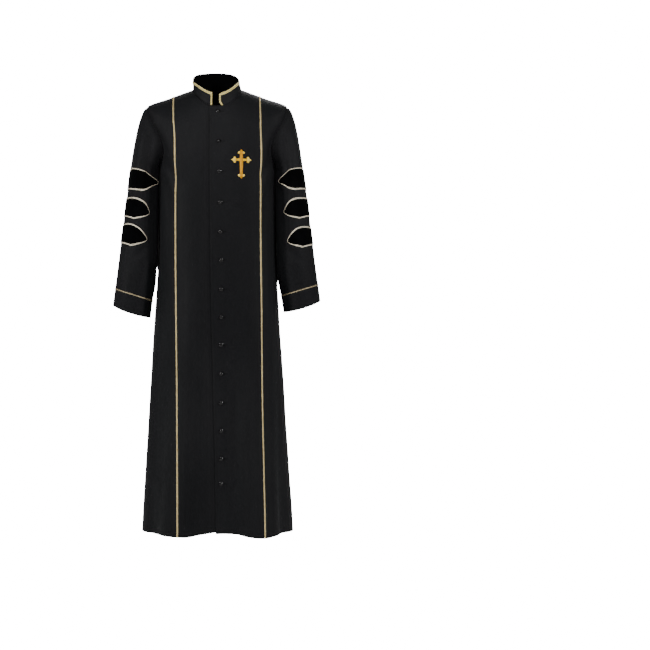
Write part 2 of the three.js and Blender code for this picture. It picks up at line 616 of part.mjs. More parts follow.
/** A point of a sleeve's facets, by degrees round and the height of its outer line, moved out by a distance. */
function onSleeve(sleeve, degrees, outerZ, distance) {
  const rings = ringsOf(sleeve === leftSleeve ? "left" : "right");
  let ring = 0;
  while (ring < rings.length - 2 && outerZ < rings[ring + 1]) ring += 1;
  const down = share(outerZ, rings[ring], rings[ring + 1]);
  const column = (degrees / 180) * ARMHOLE_ROWS;
  const [left, across] = [Math.floor(column), column - Math.floor(column)];
  const corner = (i, j) => {
    const point = sleeve.at(i, j);
    return point.clone().addScaledVector(offset.get(keyOf(point)), distance);
  };
  const [near, far] = [corner(ring, left), corner(ring + 1, left + 1)];
  const turn = across > down ? corner(ring, left + 1) : corner(ring + 1, left);
  const [high, low] = [Math.max(across, down), Math.min(across, down)];
  return near.lerp(turn, high).addScaledVector(far.sub(turn), low);
}

/** Degrees at which a shape within a bar has its columns: those of the sleeve, and closer ones at its points. */
function barColumns(shape, bar) {
  const step = 180 / ARMHOLE_ROWS;
  const shared = Array.from({ length: ARMHOLE_ROWS }, (_, k) => k * step);
  const half = (least) => {
    const kept = shared.filter((degrees) => degrees >= least && degrees < bar.points - 6.5);
    const clear = (run) => kept.every((at) => at < bar.points - 6 - run || at > bar.points + 2 - run);
    const free = BAR_POINT.runs.filter(clear).map((run) => shape.points - run);
    return [...kept, ...free, shape.points].sort((a, b) => a - b);
  };
  const backHalf = half(step).map((degrees) => -degrees);
  return [...backHalf.reverse(), ...half(0)];
}

/** A strip on the sleeve between two lines, each a function of the column that gives degrees and height. */
function strip(sleeve, lines, count, thick, wrapped) {
  const make = (distance) =>
    lines.map((line) =>
      Array.from({ length: count }, (_, k) => {
        const [degrees, outerZ] = line(k);
        return onSleeve(sleeve, degrees, outerZ, distance);
      }),
    );
  const shape = surface(make(0), { wrapped, flipped: sleeve.flipped });
  return between(shape, make(BAR_GAP + thick), make(BAR_GAP));
}

/** A bar's velvet and the braid round it. */
function barPieces(sleeve, bar) {
  const inset = BAR_BRAID + SEAM_GAP;
  const perDegree = 2.05; // millimetres round the sleeve, on the average
  const narrow = (by) => ({
    ...bar,
    top: bar.top - by,
    base: bar.base + by,
    points: bar.points - (1.5 * by) / perDegree,
  });
  const velvetBar = narrow(inset);
  const places = barColumns(velvetBar, bar);
  const edge = (which) => (k) => [places[k], barEdges(velvetBar, places[k])[which]];
  const velvet = strip(sleeve, [edge(0), edge(1)], places.length, VELVET_THICK, false);
  // The braid runs along the upper edge to the back point, and home along the lower one.
  const loop = (shape) => {
    const at = barColumns(shape, bar);
    const upper = at.map((degrees) => [degrees, barEdges(shape, degrees)[0]]);
    const lower = at.map((degrees) => [degrees, barEdges(shape, degrees)[1]]);
    return [...upper, ...lower.reverse()];
  };
  const [outside, inside] = [loop(bar), loop(narrow(BAR_BRAID))];
  const braid = strip(sleeve, [(k) => outside[k], (k) => inside[k]], outside.length, BRAID_THICK, true);
  return { velvet, braid };
}

for (const [name, sleeve] of [["left", leftSleeve], ["right", rightSleeve]]) {
  barsOf(name).forEach((bar, k) => {
    const { velvet, braid } = barPieces(sleeve, bar);
    add(`bar_${name}_${k + 1}`, velvet, "velvet");
    add(`bar_braid_${name}_${k + 1}`, braid, "braid");
  });
}

// ---- Buttons and the cross, on the left front ----
/** The point of a panel's facets straight behind (x, z), and the facet's outward normal. */
function behind(s, x, z) {
  const target = new THREE.Vector3(x, 0, z);
  const flat = (point) => new THREE.Vector3(point.x, 0, point.z);
  for (let i = 0; i < s.height - 1; i += 1) {
    for (let j = 0; j < s.width - 1; j += 1) {
      for (const cell of CELL) {
        const corners = cell.map(([di, dj]) => s.at(i + di, j + dj));
        const triangle = new THREE.Triangle(...corners.map(flat));
        const weights = triangle.getBarycoord(target, new THREE.Vector3());
        if (!weights || Math.min(weights.x, weights.y, weights.z) < -1e-6) continue;
        const point = new THREE.Vector3();
        corners.forEach((corner, k) => point.addScaledVector(corner, weights.getComponent(k)));
        const normal = new THREE.Triangle(...corners).getNormal(new THREE.Vector3());
        return { point, normal: s.flipped ? normal.negate() : normal };
      }
    }
  }
  throw new Error(`nothing lies behind ${x}, ${z}`);
}

/** A domed button with a flat back, its axis along +Y. */
function buttonGeometry() {
  const { radius, height, rim, sides } = BUTTON;
  const profile = [
    new THREE.Vector2(0, 0),
    new THREE.Vector2(radius * 0.86, 0),
    new THREE.Vector2(radius, rim),
    new THREE.Vector2(radius * 0.78, height * 0.78),
    new THREE.Vector2(0, height),
  ];
  const lathed = new THREE.LatheGeometry(profile, sides);
  lathed.deleteAttribute("uv");
  lathed.deleteAttribute("normal");
  return mergeVertices(lathed, 1e-3);
}

BUTTON_HEIGHTS.forEach((z, k) => {
  const x = BUTTON.x + BUTTON_DRIFT * share(z, BUTTON_HEIGHTS[0], BUTTON_HEIGHTS[5]);
  const { point, normal } = behind(leftFront, x, z);
  const geometry = buttonGeometry();
  geometry.applyQuaternion(new THREE.Quaternion().setFromUnitVectors(new THREE.Vector3(0, 1, 0), normal));
  geometry.translate(...point.addScaledVector(normal, BUTTON.gap));
  add(`button_${String(k + 1).padStart(2, "0")}`, geometry, "button");
});

/** The cross's outline: four arms that each end in three small buds, round its middle. */
function crossOutline() {
  const { width, height, stem, arm, armFall, bud } = CROSS;
  const arms = [
    { turn: 0, long: width / 2, half: arm / 2, side: stem / 2 },
    { turn: 90, long: armFall, half: stem / 2, side: arm / 2 },
    { turn: 180, long: width / 2, half: arm / 2, side: stem / 2 },
    { turn: 270, long: height - armFall, half: stem / 2, side: arm / 2 },
  ];
  const outline = [];
  for (const { turn, long, half, side } of arms) {
    const shape = [
      [side, -half],
      [long - 2.1 * bud, -half * 0.85],
      [long - 1.9 * bud, -half - bud * 0.75],
      [long - 1.2 * bud, -half - bud * 0.7],
      [long - 0.75 * bud, -half * 0.9],
      [long, 0],
      [long - 0.75 * bud, half * 0.9],
      [long - 1.2 * bud, half + bud * 0.7],
      [long - 1.9 * bud, half + bud * 0.75],
      [long - 2.1 * bud, half * 0.85],
    ];
    for (const [along, across] of shape) {
      outline.push(new THREE.Vector2(along, across).rotateAround(new THREE.Vector2(), radians(turn)));
    }
  }
  return outline;
}

/** The cross, laid on the left front: its flat mesh, and a wall between that mesh and the one above it. */
function crossGeometry() {
  const flat = new THREE.ShapeGeometry(new THREE.Shape(crossOutline()));
  const fine = mergeVertices(
    new TessellateModifier(CROSS.mesh, 8).modify(flat.toNonIndexed().deleteAttribute("uv").deleteAttribute("normal")),
    1e-3,
  );
  const place = fine.getAttribute("position");
  const lean = behind(leftFront, CROSS.x, CROSS.z).normal;
  const [low, high] = [CROSS.gap, CROSS.gap + CROSS.thick].map((distance) =>
    Array.from({ length: place.count }, (_, k) => {
      const { point } = behind(leftFront, CROSS.x + place.getX(k), CROSS.z + place.getY(k));
      return point.addScaledVector(lean, distance);
    }),
  );
  const corners = [];
  const edges = new Map();
  for (let k = 0; k < fine.index.count; k += 3) {
    const [a, b, c] = [0, 1, 2].map((n) => fine.index.getX(k + n));
    corners.push(high[a], high[b], high[c], low[a], low[c], low[b]);
    for (const [from, to] of [[a, b], [b, c], [c, a]]) {
      if (edges.has(`${to}-${from}`)) edges.delete(`${to}-${from}`);
      else edges.set(`${from}-${to}`, [from, to]);
    }
  }
  for (const [from, to] of edges.values()) {
    corners.push(high[from], low[from], low[to], high[from], low[to], high[to]);
  }
  return new THREE.BufferGeometry().setFromPoints(corners);
}
add("cross", crossGeometry(), "gold");

export default group;
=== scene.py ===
# %% [markdown]
# # A clergy robe in cloth, velvet, braid and thread
# The robe is a floor-length black cassock that closes down the front with a row of small domed buttons. The
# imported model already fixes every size, so this script only gives each part its finer form and its finish. It
# works in the model's own frame: X towards the wearer's left, Y towards the back and Z up, with the origin in
# the middle of the neck. Lengths are written in millimetres and become metres only when a mesh is made.

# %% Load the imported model
import json
import math

import bmesh
import bpy
import numpy as np
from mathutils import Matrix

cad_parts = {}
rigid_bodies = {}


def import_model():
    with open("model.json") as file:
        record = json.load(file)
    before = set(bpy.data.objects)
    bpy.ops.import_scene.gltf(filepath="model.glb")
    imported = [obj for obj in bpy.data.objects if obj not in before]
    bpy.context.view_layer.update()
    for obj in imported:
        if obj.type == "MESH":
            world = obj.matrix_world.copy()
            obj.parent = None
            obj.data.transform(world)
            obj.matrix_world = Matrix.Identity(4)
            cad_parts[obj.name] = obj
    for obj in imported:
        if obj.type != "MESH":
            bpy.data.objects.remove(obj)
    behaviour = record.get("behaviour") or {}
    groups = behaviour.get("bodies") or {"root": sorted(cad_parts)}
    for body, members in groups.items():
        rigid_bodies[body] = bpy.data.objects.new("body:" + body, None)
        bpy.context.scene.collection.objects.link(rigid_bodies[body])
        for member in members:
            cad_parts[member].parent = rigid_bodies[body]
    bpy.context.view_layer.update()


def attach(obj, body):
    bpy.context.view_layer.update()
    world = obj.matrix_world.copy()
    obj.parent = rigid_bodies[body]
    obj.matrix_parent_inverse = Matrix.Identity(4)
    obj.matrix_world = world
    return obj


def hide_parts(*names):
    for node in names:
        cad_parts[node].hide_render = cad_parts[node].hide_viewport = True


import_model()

# %% [markdown]
# ## Small helpers for curves
# Nearly every form on the robe is a value that changes smoothly along a length. Four one-line helpers say how
# far along we are, ease a step, blend two values, and raise a number to a power without losing its sign. The
# last of those turns a circle into the slightly squarer section of a body or a sleeve.

# %% Curve helpers
def share(value, start, end):
    """How far value has come from start to end, kept between 0 and 1."""
    return np.clip((np.asarray(value, float) - start) / (end - start), 0.0, 1.0)


def ease(t):
    return t * t * (3 - 2 * t)


def mix(a, b, t):
    return a + (b - a) * t


def power(base, exponent):
    return np.sign(base) * np.abs(base) ** exponent


# %% [markdown]
# A tailor's table gives widths and depths at a few heights only. Between them the cloth runs on without a
# kink and without bulging past either value, so the table is read through a cubic curve whose slope at each
# height is the harmonic mean of the slopes on its two sides. A plain spline would overshoot at the neck.

# %% Read a table smoothly
def through(keys, values):
    """A smooth function through a table's column that doesn't overshoot it."""
    order = np.argsort(keys)
    x, y = np.array(keys, float)[order], np.array(values, float)[order]
    slope = np.diff(y) / np.diff(x)
    before, after = slope[:-1], slope[1:]
    same = before * after > 0
    inner = np.where(same, 2 * before * after / np.where(same, before + after, 1.0), 0.0)
    tangent = np.concatenate([slope[:1], inner, slope[-1:]])

    def read(at):
        i = np.clip(np.searchsorted(x, at) - 1, 0, len(x) - 2)
        step = x[i + 1] - x[i]
        t = np.clip((at - x[i]) / step, 0, 1)
        rise = (1 + 2 * t) * (1 - t) ** 2 * y[i] + t * t * (3 - 2 * t) * y[i + 1]
        return rise + t * (1 - t) ** 2 * step * tangent[i] - t * t * (1 - t) * step * tangent[i + 1]

    return read


# %% [markdown]
# ## The robe's sizes
# These are the driving sizes of the garment. The body is described by sections from the hem to the neck: the
# height at the side seam, half the width, the depths to front and back, the heights at the two centre lines,
# and how square the section is. Nine soft folds start below the waist and grow towards the hem, and a deep
# inverted pleat opens at the centre back.

# %% Body sizes
HEM, ARMPIT, TIP, NECK = -1366.0, -240.0, -52.0, 4.0
NECK_HALF, NECK_FRONT, NECK_BACK = 76.0, 84.0, 72.0
BODY = {
    "level": [-1366, -1000, -700, -480, -240, -52, -22, 4],
    "half": [236, 212, 194, 183, 182, 218, 146, 76],
    "front": [168, 153, 141, 134, 128, 102, 93, 84],
    "back": [172, 156, 142, 129, 121, 104, 91, 72],
    "frontZ": [-1366, -1000, -700, -480, -240, -128, -94, -60],
    "backZ": [-1366, -1000, -700, -480, -240, -92, -38, 14],
    "square": [2.2, 2.25, 2.3, 2.35, 2.4, 2.3, 2.2, 2],
}
body_at = {name: through(BODY["level"], BODY[name]) for name in BODY if name != "level"}
# Each fold: degrees round from centre front, depth, spread in degrees, height of its top, rise of the hem.
SKIRT_FOLDS = [
    (0, -22, 26, -520, 10), (31, 13, 24, -640, -6), (-34, 12, 22, -600, 0),
    (60, -9, 17, -760, 0), (-63, -8, 18, -820, 0), (104, -10, 16, -780, 0),
    (-101, -9, 15, -720, 0), (131, 9, 18, -700, 0), (-129, 10, 17, -760, 0),
]
PLEAT = {"top": -690, "depth": 104, "top_half": 16, "hem_half": 44, "lift": 15, "grow": 1.25}
TURN = {"top": -300, "degrees": 3.5}
RIDGE_DROP = 1.4
print("sections:", len(BODY["level"]), "folds:", len(SKIRT_FOLDS))

# %% [markdown]
# A point of the body is found from an angle round the body and a level. The functions take whole arrays, so a
# panel of fifteen thousand points is one call. The outward direction at a point comes from two short steps on
# the same surface, one round and one up, whose cross product stands square to the cloth.

# %% The body's surface
def angle_of(x, level):
    across = np.clip(x / body_at["half"](level), -1, 1)
    return np.arcsin(power(across, body_at["square"](level) / 2))


def skirt_folds(angle, level):
    """How far the skirt's folds move the cloth outwards, and how far they lift it."""
    out, lift = np.zeros_like(angle), np.zeros_like(angle)
    for at, depth, spread, top, rise in SKIRT_FOLDS:
        off = np.abs((angle - math.radians(at) + math.pi) % (2 * math.pi) - math.pi)
        window = 0.5 + 0.5 * np.cos(math.pi * share(off, 0, math.radians(spread)))
        grown = share(level, top, HEM) ** 1.3
        out += depth * window * grown
        lift += rise * window * grown**3
    return out, lift


def body_point(angle, level):
    """Points of the body's plain surface, with its skirt folds."""
    turned = angle + math.radians(TURN["degrees"]) * ease(share(level, TURN["top"], HEM))
    sine, cosine = np.sin(turned), np.cos(turned)
    front = cosine >= 0
    half = body_at["half"](level)
    depth = np.where(front, body_at["front"](level), body_at["back"](level))
    centre = np.where(front, body_at["frontZ"](level), body_at["backZ"](level))
    square = 2 / body_at["square"](level)
    x, y = half * power(sine, square), -depth * power(cosine, square)
    out, lift = skirt_folds(angle, level)
    away = np.stack([x / half**2, y / depth**2], -1)
    away /= np.linalg.norm(away, axis=-1, keepdims=True)
    z = level + (centre - level) * np.abs(cosine) ** RIDGE_DROP + lift
    return np.stack([x + away[..., 0] * out, y + away[..., 1] * out, z], -1)


def unit(vectors):
    return vectors / np.maximum(np.linalg.norm(vectors, axis=-1, keepdims=True), 1e-9)


SHORT_TURN, SHORT_RISE = 1e-3, 0.6


def body_outward(angle, level):
    low, high = np.maximum(level - SHORT_RISE, HEM), np.minimum(level + SHORT_RISE, NECK)
    around = body_point(angle + SHORT_TURN, level) - body_point(angle - SHORT_TURN, level)
    return unit(np.cross(around, body_point(angle, high) - body_point(angle, low)))


# %% [markdown]
# ## Creases and the life of the cloth
# Gabardine of this weight hangs smooth, with a few long soft folds. They start where the garment is held: at
# the armholes, under the arm, at the elbow and at the buttons. Each crease is placed one by one. Its points are
# given as seen from the front, back or either side, with its half width and its depth, and below zero it is a
# trough. One function then serves body and sleeves alike. A cloth simulation was the other choice, but it would
# not fall into these few folds.

# %% The table of creases
# view, points (across, height), half width, depth, and how it ends: from LENS_END up it fades both ways from
# its middle, from RUN_OUT up it fades in and then runs out at full depth, and less is the share of its length
# over which each end fades.
LENS_END, RUN_OUT = 0.7, 0.3
CREASES = [
    # from the armpits into the chest and the body
    ("front", [(-196, -118), (-176, -190), (-168, -262)], 17, -5.5, 0.9),
    ("front", [(-170, -236), (-140, -262), (-112, -330)], 15, -3.4, 0.8),
    ("front", [(-176, -262), (-152, -330), (-148, -430)], 15, -3.6, 0.8),
    ("front", [(-158, -150), (-132, -200), (-122, -290)], 20, 3.0, 0.8),
    ("front", [(196, -112), (178, -186), (168, -256)], 16, -5.0, 0.9),
    ("front", [(172, -232), (150, -250), (122, -300)], 13, -2.8, 0.8),
    ("front", [(174, -262), (158, -350), (152, -470)], 16, -3.8, 0.8),
    ("front", [(158, -140), (140, -190), (136, -270)], 18, 2.6, 0.8),
    # long soft verticals of the body and the skirt
    ("front", [(-58, -330), (-52, -520), (-62, -760)], 26, -3.2, 0.7),
    ("front", [(-92, -480), (-86, -700), (-96, -980)], 22, 3.6, 0.7),
    ("front", [(72, -360), (80, -560), (70, -800)], 28, -3.4, 0.7),
    ("front", [(108, -520), (116, -700), (112, -900)], 24, 2.0, 0.7),
    ("front", [(-48, -640), (-52, -980), (-58, -1372)], 24, -6.0, 0.5),
    ("front", [(-82, -900), (-92, -1130), (-100, -1372)], 20, 4.0, 0.5),
    ("front", [(46, -820), (54, -1100), (58, -1372)], 22, -5.0, 0.5),
    ("front", [(88, -940), (92, -1140), (90, -1372)], 18, 3.2, 0.5),
    ("front", [(150, -700), (160, -960), (172, -1372)], 20, -3.6, 0.5),
    ("front", [(-150, -760), (-164, -1000), (-182, -1372)], 18, -3.2, 0.5),
    ("front", [(-186, -640), (-196, -900), (-206, -1200)], 16, 2.6, 0.6),
    # pulls beside the buttons
    ("front", [(14, -359), (42, -366), (82, -378)], 7, -1.3, 0.8),
    ("front", [(14, -622), (36, -628), (60, -640)], 6, -1.0, 0.8),
    ("front", [(14, -790), (44, -778), (74, -764)], 7, -1.4, 0.8),
    ("front", [(14, -877), (32, -862), (58, -836)], 6, -1.2, 0.8),
    ("front", [(14, -448), (30, -452), (52, -462)], 6, -0.9, 0.8),
    ("front", [(14, -265), (32, -268), (50, -274)], 6, -0.8, 0.8),
    # back of the body
    ("back", [(-176, -130), (-160, -210), (-150, -300)], 17, -4.4, 0.9),
    ("back", [(178, -126), (160, -205), (154, -290)], 16, -4.8, 0.9),
    ("back", [(-120, -90), (-60, -112), (10, -104)], 22, -2.0, 0.8),
    ("back", [(120, -96), (70, -120), (24, -116)], 18, -1.8, 0.8),
    ("back", [(-70, -300), (-62, -520), (-78, -820)], 24, -2.8, 0.7),
    ("back", [(74, -340), (84, -560), (76, -860)], 26, -2.6, 0.7),
    ("back", [(-112, -560), (-120, -860), (-126, -1372)], 20, 3.4, 0.5),
    ("back", [(116, -620), (126, -900), (138, -1372)], 19, 3.0, 0.5),
    ("back", [(-76, -900), (-84, -1120), (-92, -1372)], 15, -3.4, 0.5),
    ("back", [(84, -960), (90, -1160), (96, -1372)], 16, -3.2, 0.5),
    # the two sides, between the fronts and the backs
    ("left", [(-22, -300), (-30, -520), (-20, -820)], 22, -2.6, 0.7),
    ("left", [(34, -420), (44, -760), (52, -1372)], 20, 3.0, 0.6),
    ("left", [(-62, -700), (-70, -1000), (-84, -1372)], 17, -3.2, 0.5),
    ("right", [(-18, -320), (-26, -560), (-34, -900)], 20, -2.4, 0.7),
    ("right", [(40, -480), (34, -800), (44, -1372)], 21, 3.2, 0.6),
    ("right", [(-66, -760), (-74, -1040), (-80, -1372)], 16, -3.0, 0.5),
    # the slack beside each side seam, behind the arm
    ("left", [(29, -190), (32, -400), (30, -608)], 15, 6.2, 0.09),
    ("right", [(29, -190), (32, -390), (30, -566)], 15, 7.0, 0.09),
]
print("creases on the body:", len(CREASES))

# %% [markdown]
# The sleeves have their own, shorter creases: drag lines that fan out from the armpit, the slack at the
# inner elbow, and long flutes down to the cuff. They are placed in the same way.

# %% Creases of the sleeves
SLEEVE_CREASES = [
    ("front", [(-200, -140), (-208, -230), (-204, -340)], 14, -6.5, 0.8),
    ("front", [(-222, -120), (-238, -200), (-246, -300)], 15, 2.6, 0.8),
    ("front", [(-196, -280), (-206, -400), (-214, -540)], 14, -6.5, 0.8),
    ("front", [(-246, -330), (-262, -440), (-270, -560)], 14, -2.6, 0.8),
    ("front", [(-214, -470), (-232, -505), (-262, -520)], 10, -3.0, 0.8),
    ("front", [(-222, -520), (-238, -600), (-250, -700)], 11, -3.0, 0.6),
    ("front", [(-268, -560), (-280, -620), (-288, -690)], 11, 2.4, 0.6),
    ("front", [(200, -140), (208, -240), (205, -350)], 14, -6.2, 0.8),
    ("front", [(224, -116), (240, -196), (248, -290)], 15, 2.4, 0.8),
    ("front", [(197, -290), (207, -420), (218, -560)], 14, -6.2, 0.8),
    ("front", [(250, -350), (264, -450), (276, -580)], 14, -2.8, 0.8),
    ("front", [(216, -488), (240, -520), (268, -532)], 10, -2.6, 0.8),
    ("front", [(230, -540), (242, -610), (252, -690)], 11, -3.2, 0.6),
    ("back", [(-208, -160), (-218, -250), (-214, -350)], 13, -4.6, 0.8),
    ("back", [(-240, -300), (-256, -430), (-268, -600)], 14, -3.0, 0.7),
    ("back", [(-220, -480), (-246, -505), (-280, -500)], 10, -2.6, 0.8),
    ("back", [(208, -156), (216, -240), (212, -340)], 13, -4.8, 0.8),
    ("back", [(242, -320), (258, -440), (272, -620)], 14, -2.8, 0.7),
    ("back", [(222, -470), (250, -492), (284, -486)], 10, -2.8, 0.8),
    ("left", [(-30, -120), (-24, -220), (-32, -330)], 16, -2.2, 0.8),
    ("left", [(20, -330), (14, -460), (22, -640)], 15, -2.4, 0.7),
    ("right", [(-26, -130), (-34, -240), (-24, -340)], 15, -2.4, 0.8),
    ("right", [(18, -350), (26, -480), (16, -650)], 15, -2.2, 0.7),
    # the slack under each arm, which lies against the body as far as the elbow
    ("inside left arm", [(-31, -206), (-34, -400), (-37, -608)], 15, 4.8, 0.09),
    ("inside right arm", [(-31, -206), (-34, -390), (-37, -566)], 15, 5.5, 0.09),
]
# Each view: the axes across and along the line of sight, which way a face looks, and the side of the robe.
VIEWS = {
    "front": (0, 1, -1, 0), "back": (0, 1, 1, 0), "left": (1, 0, 1, 1), "right": (1, 0, -1, -1),
    "inside left arm": (1, 0, -1, 1), "inside right arm": (1, 0, 1, -1),
}
print("creases on the sleeves:", len(SLEEVE_CREASES))


# %% Turn the creases into depth
def crease_line(points, count=17):
    """Points along the smooth curve that starts, bends and ends at three given points."""
    a, b, c = (np.array(p, float) for p in points)
    b = 2 * b - (a + c) / 2
    t = np.linspace(0, 1, count)[:, None]
    return (1 - t) ** 2 * a + 2 * t * (1 - t) * b + t * t * c


def one_crease(seen, line, width, depth, ends):
    """The depth of one crease at every seen point, fading out towards both of its ends."""
    best, along = np.full(seen.shape[:-1], 1e9), np.zeros(seen.shape[:-1])
    for k in range(len(line) - 1):
        start, run = line[k], line[k + 1] - line[k]
        t = np.clip(((seen - start) @ run) / (run @ run), 0, 1)
        off = np.linalg.norm(seen - start - t[..., None] * run, axis=-1)
        nearer = off < best
        best = np.where(nearer, off, best)
        along = np.where(nearer, (k + t) / (len(line) - 1), along)
    if ends >= LENS_END:
        fade = np.sin(math.pi * along)
    elif ends >= RUN_OUT:
        fade = np.sin(math.pi / 2 * np.clip(along / ends, 0, 1))
    else:
        fade = ease(np.clip(along / ends, 0, 1)) * ease(np.clip((1 - along) / ends, 0, 1))
    return depth * np.exp(-((best / width) ** 2)) * np.clip(fade, 0, 1) ** 0.8


CREASE_STRENGTH = 1.4  # eases all the placed creases up or down together


def crease_depth(points, outward, table):
    """The depth of all the creases of a table, each only on the faces that its view sees."""
    total = np.zeros(points.shape[:-1])
    for view, bends, width, depth, ends in table:
        across, look, facing, side = VIEWS[view]
        seen = points[..., [across, 2]]
        line = crease_line(bends)
        reach = 3 * width
        low, high = line.min(0) - reach, line.max(0) + reach
        toward = ease(share(outward[..., look] * facing, 0.05, 0.55))
        near = ((seen > low) & (seen < high)).all(-1) & (toward > 0) & (points[..., 0] * side >= 0)
        if near.any():
            total[near] += one_crease(seen[near], line, width, depth, ends) * toward[near]
    return total * CREASE_STRENGTH


# %% [markdown]
# Between the placed creases no real cloth is perfectly even. Twenty-two sine waves in random directions, from
# a fixed seed, add a slow swell of a millimetre or so. They are stretched upwards, since cloth that hangs
# ripples across far more than it does up and down.

# %% The slow swell of the cloth
WAVES = 22


def swell(points, size, stretch, seed):
    """Waves of about a given size in millimetres, so many times longer upwards, between about -1 and 1."""
    rng = np.random.default_rng(seed)
    waves = unit(rng.normal(size=(WAVES, 3))) * (2 * math.pi / size) * rng.uniform(0.6, 1.4, (WAVES, 1))
    waves[:, 2] /= stretch
    return np.sin(points @ waves.T + rng.uniform(0, 2 * math.pi, WAVES)).sum(-1) / 5


# Where the sleeve and the body all but touch: the ends of the zone across and upwards, and its half depth.
BESIDE, BESIDE_END = (140, 165), (225, 205)
FROM_BELOW, FROM_ABOVE, BESIDE_DEPTH = (-700, -640), (-200, -225), 20


def under_arm(points):
    """1 where the sleeve and the body all but touch, and 0 elsewhere."""
    across, height = np.abs(points[..., 0]), points[..., 2]
    beside = ease(share(across, *BESIDE)) * ease(share(across, *BESIDE_END))
    within = beside * ease(share(height, *FROM_BELOW)) * ease(share(height, *FROM_ABOVE))
    return within * np.exp(-((points[..., 1] / BESIDE_DEPTH) ** 2))


# Size, stretch and seed of each swell, its height at the chest and how much is added down to the hem.
SWELLS = [(190, 3.5, 3, 0.7, 1.3), (62, 3.0, 5, 0.22, 0.3), (24, 1.6, 8, 0.06, 0)]


def cloth_relief(points, outward, table):
    """How far the worn cloth stands off its plain form, below zero inwards."""
    down = share(points[..., 2], -200, HEM)
    rolling = sum(swell(points, *wave) * (height + more * down) for *wave, height, more in SWELLS)
    return crease_depth(points, outward, table) + rolling * (1 - under_arm(points))


# %% [markdown]
# ## Panels
# The robe is cut as two fronts, two backs, two sleeves and a collar. A panel is a grid of points: its columns
# run from the centre out to the side seam and the armhole, and its rows from hem to shoulder. Some columns
# are fixed, because the long braids lie along them, and the rest are spread between them about four and a
# half millimetres apart, close enough for the creases to turn smoothly.

# %% Columns and rows of a panel
# The long braids' two edges, as distances beside centre at the shoulder, the armpit and the hem. The other
# columns are given at the shoulder and at the armpit.
STRIPE = {"left": [(129, 130, 123.5), (135, 136, 129.5)], "right": [(133, 124, 124), (139, 130, 130)]}
LEFT_COLUMNS = [
    (-22, -22), (-16, -16), (-6, -6), (6, 6), (14, 14), (25, 27),
    (40, 47), (54, 69), (66, 90), (73.6, 106), (76, 118),
]
RIGHT_COLUMNS = [
    (-24, -24), (-14, -14), (-6, -6), (6, 6), (16, 16), (24, 24),
    (35, 35), (46.5, 55), (57, 73), (67.5, 91), (74, 106), (76, 118),
]
BACK_COLUMNS = [
    (0, 0), (8, 6.5), (16, 13), (25, 20), (34, 28), (43, 37),
    (52, 48), (61, 65), (68.5, 86), (74, 105), (76, 118),
]
# Rows are counted from the hem, and the armhole begins and ends on these two. It bites in by these degrees.
ARMPIT_ROW, SHOULDER_ROW = 14, 24
BITE = {"front": 30.0, "back": 27.0}
COLUMN_GAP = 4.5
ROW_GAP = 5.5
ARMHOLE_LENGTH = 230


def spread_columns(columns, stripe):
    """Columns about COLUMN_GAP apart that keep the given ones, and which two of them edge the stripe."""
    given = [(neck, skirt, skirt) for neck, skirt in columns] + list(stripe)
    made = [np.array(given[0], float)]
    for a, b in zip(given, given[1:]):
        a, b = np.array(a, float), np.array(b, float)
        steps = max(1, math.ceil(np.abs(b - a).max() / COLUMN_GAP))
        made += [a + (b - a) * k / steps for k in range(1, steps + 1)]
        if tuple(b) == tuple(map(float, stripe[0])):
            stripe_first = len(made) - 1
    return np.array(made), stripe_first, len(made) - 1


def row_places():
    """Rows about ROW_GAP apart, a little closer at the hem and at both ends of the armhole."""
    skirt = np.linspace(0, ARMPIT_ROW, int((ARMPIT - HEM) / ROW_GAP) + 1)
    up = np.linspace(0, 1, int(ARMHOLE_LENGTH / ROW_GAP) + 1)
    rise = SHOULDER_ROW - ARMPIT_ROW
    armhole = ARMPIT_ROW + rise * ease(up) * 0.35 + rise * up * 0.65
    return np.concatenate([[0, 0.012, 0.03], skirt[1:], armhole[1:]])


ROWS = row_places()
SIDE_STEPS = np.concatenate([np.linspace(0, 1, 27)[1:-1], [0.978, 0.99, 0.996, 1.0]])
print("rows in a panel:", len(ROWS), "columns beside the stripe:", len(SIDE_STEPS))

# %% [markdown]
# Above the armpit the columns fan in to the neckline, and the outer edge turns into the armhole, an oval that
# bites into the panel. The shoulder seam runs along the ridge, so a column outside the neck ends on the level
# where the ridge is as wide as the column.

# %% Lines on a panel
ridge_levels = np.linspace(TIP, NECK, 400)
ridge_halves = body_at["half"](ridge_levels)


def ridge_level(x):
    return np.interp(-x, -ridge_halves, ridge_levels)


def column_places(columns, rows):
    """Distance beside centre, angle and level for every column and row."""
    neck, skirt, hem = columns.T
    row = rows[:, None]
    below, above = np.clip(row / ARMPIT_ROW, 0, 1), share(row, ARMPIT_ROW, SHOULDER_ROW)
    x = np.where(row < ARMPIT_ROW, mix(hem, skirt, below), mix(skirt, neck, ease(above)))
    top = np.where(x > NECK_HALF, ridge_level(np.maximum(x, NECK_HALF)), NECK)
    closer = 1 + 0.8 * ease(share(x, 30, 100))
    upper = mix(ARMPIT, top, 1 - (1 - above) ** closer)
    level = np.where(row <= ARMPIT_ROW, mix(HEM, ARMPIT, below) + 0 * x, upper)
    return x, angle_of(x, level), level


def outer_edge(rows, bite):
    """Angle and level of the side seam, and above it of the armhole."""
    turn = math.pi * share(rows, ARMPIT_ROW, SHOULDER_ROW)
    angle = math.pi / 2 - math.radians(bite) * np.sin(turn)
    seam = mix(HEM, ARMPIT, np.clip(rows / ARMPIT_ROW, 0, 1))
    return angle, np.where(rows <= ARMPIT_ROW, seam, mix(ARMPIT, TIP, (1 - np.cos(turn)) / 2))


# %% [markdown]
# A seam is where two pieces meet and turn in, so the cloth dips there by a fraction of a millimetre over a
# narrow width. The dip is made from the distance to the panel's edge, measured along the grid itself.

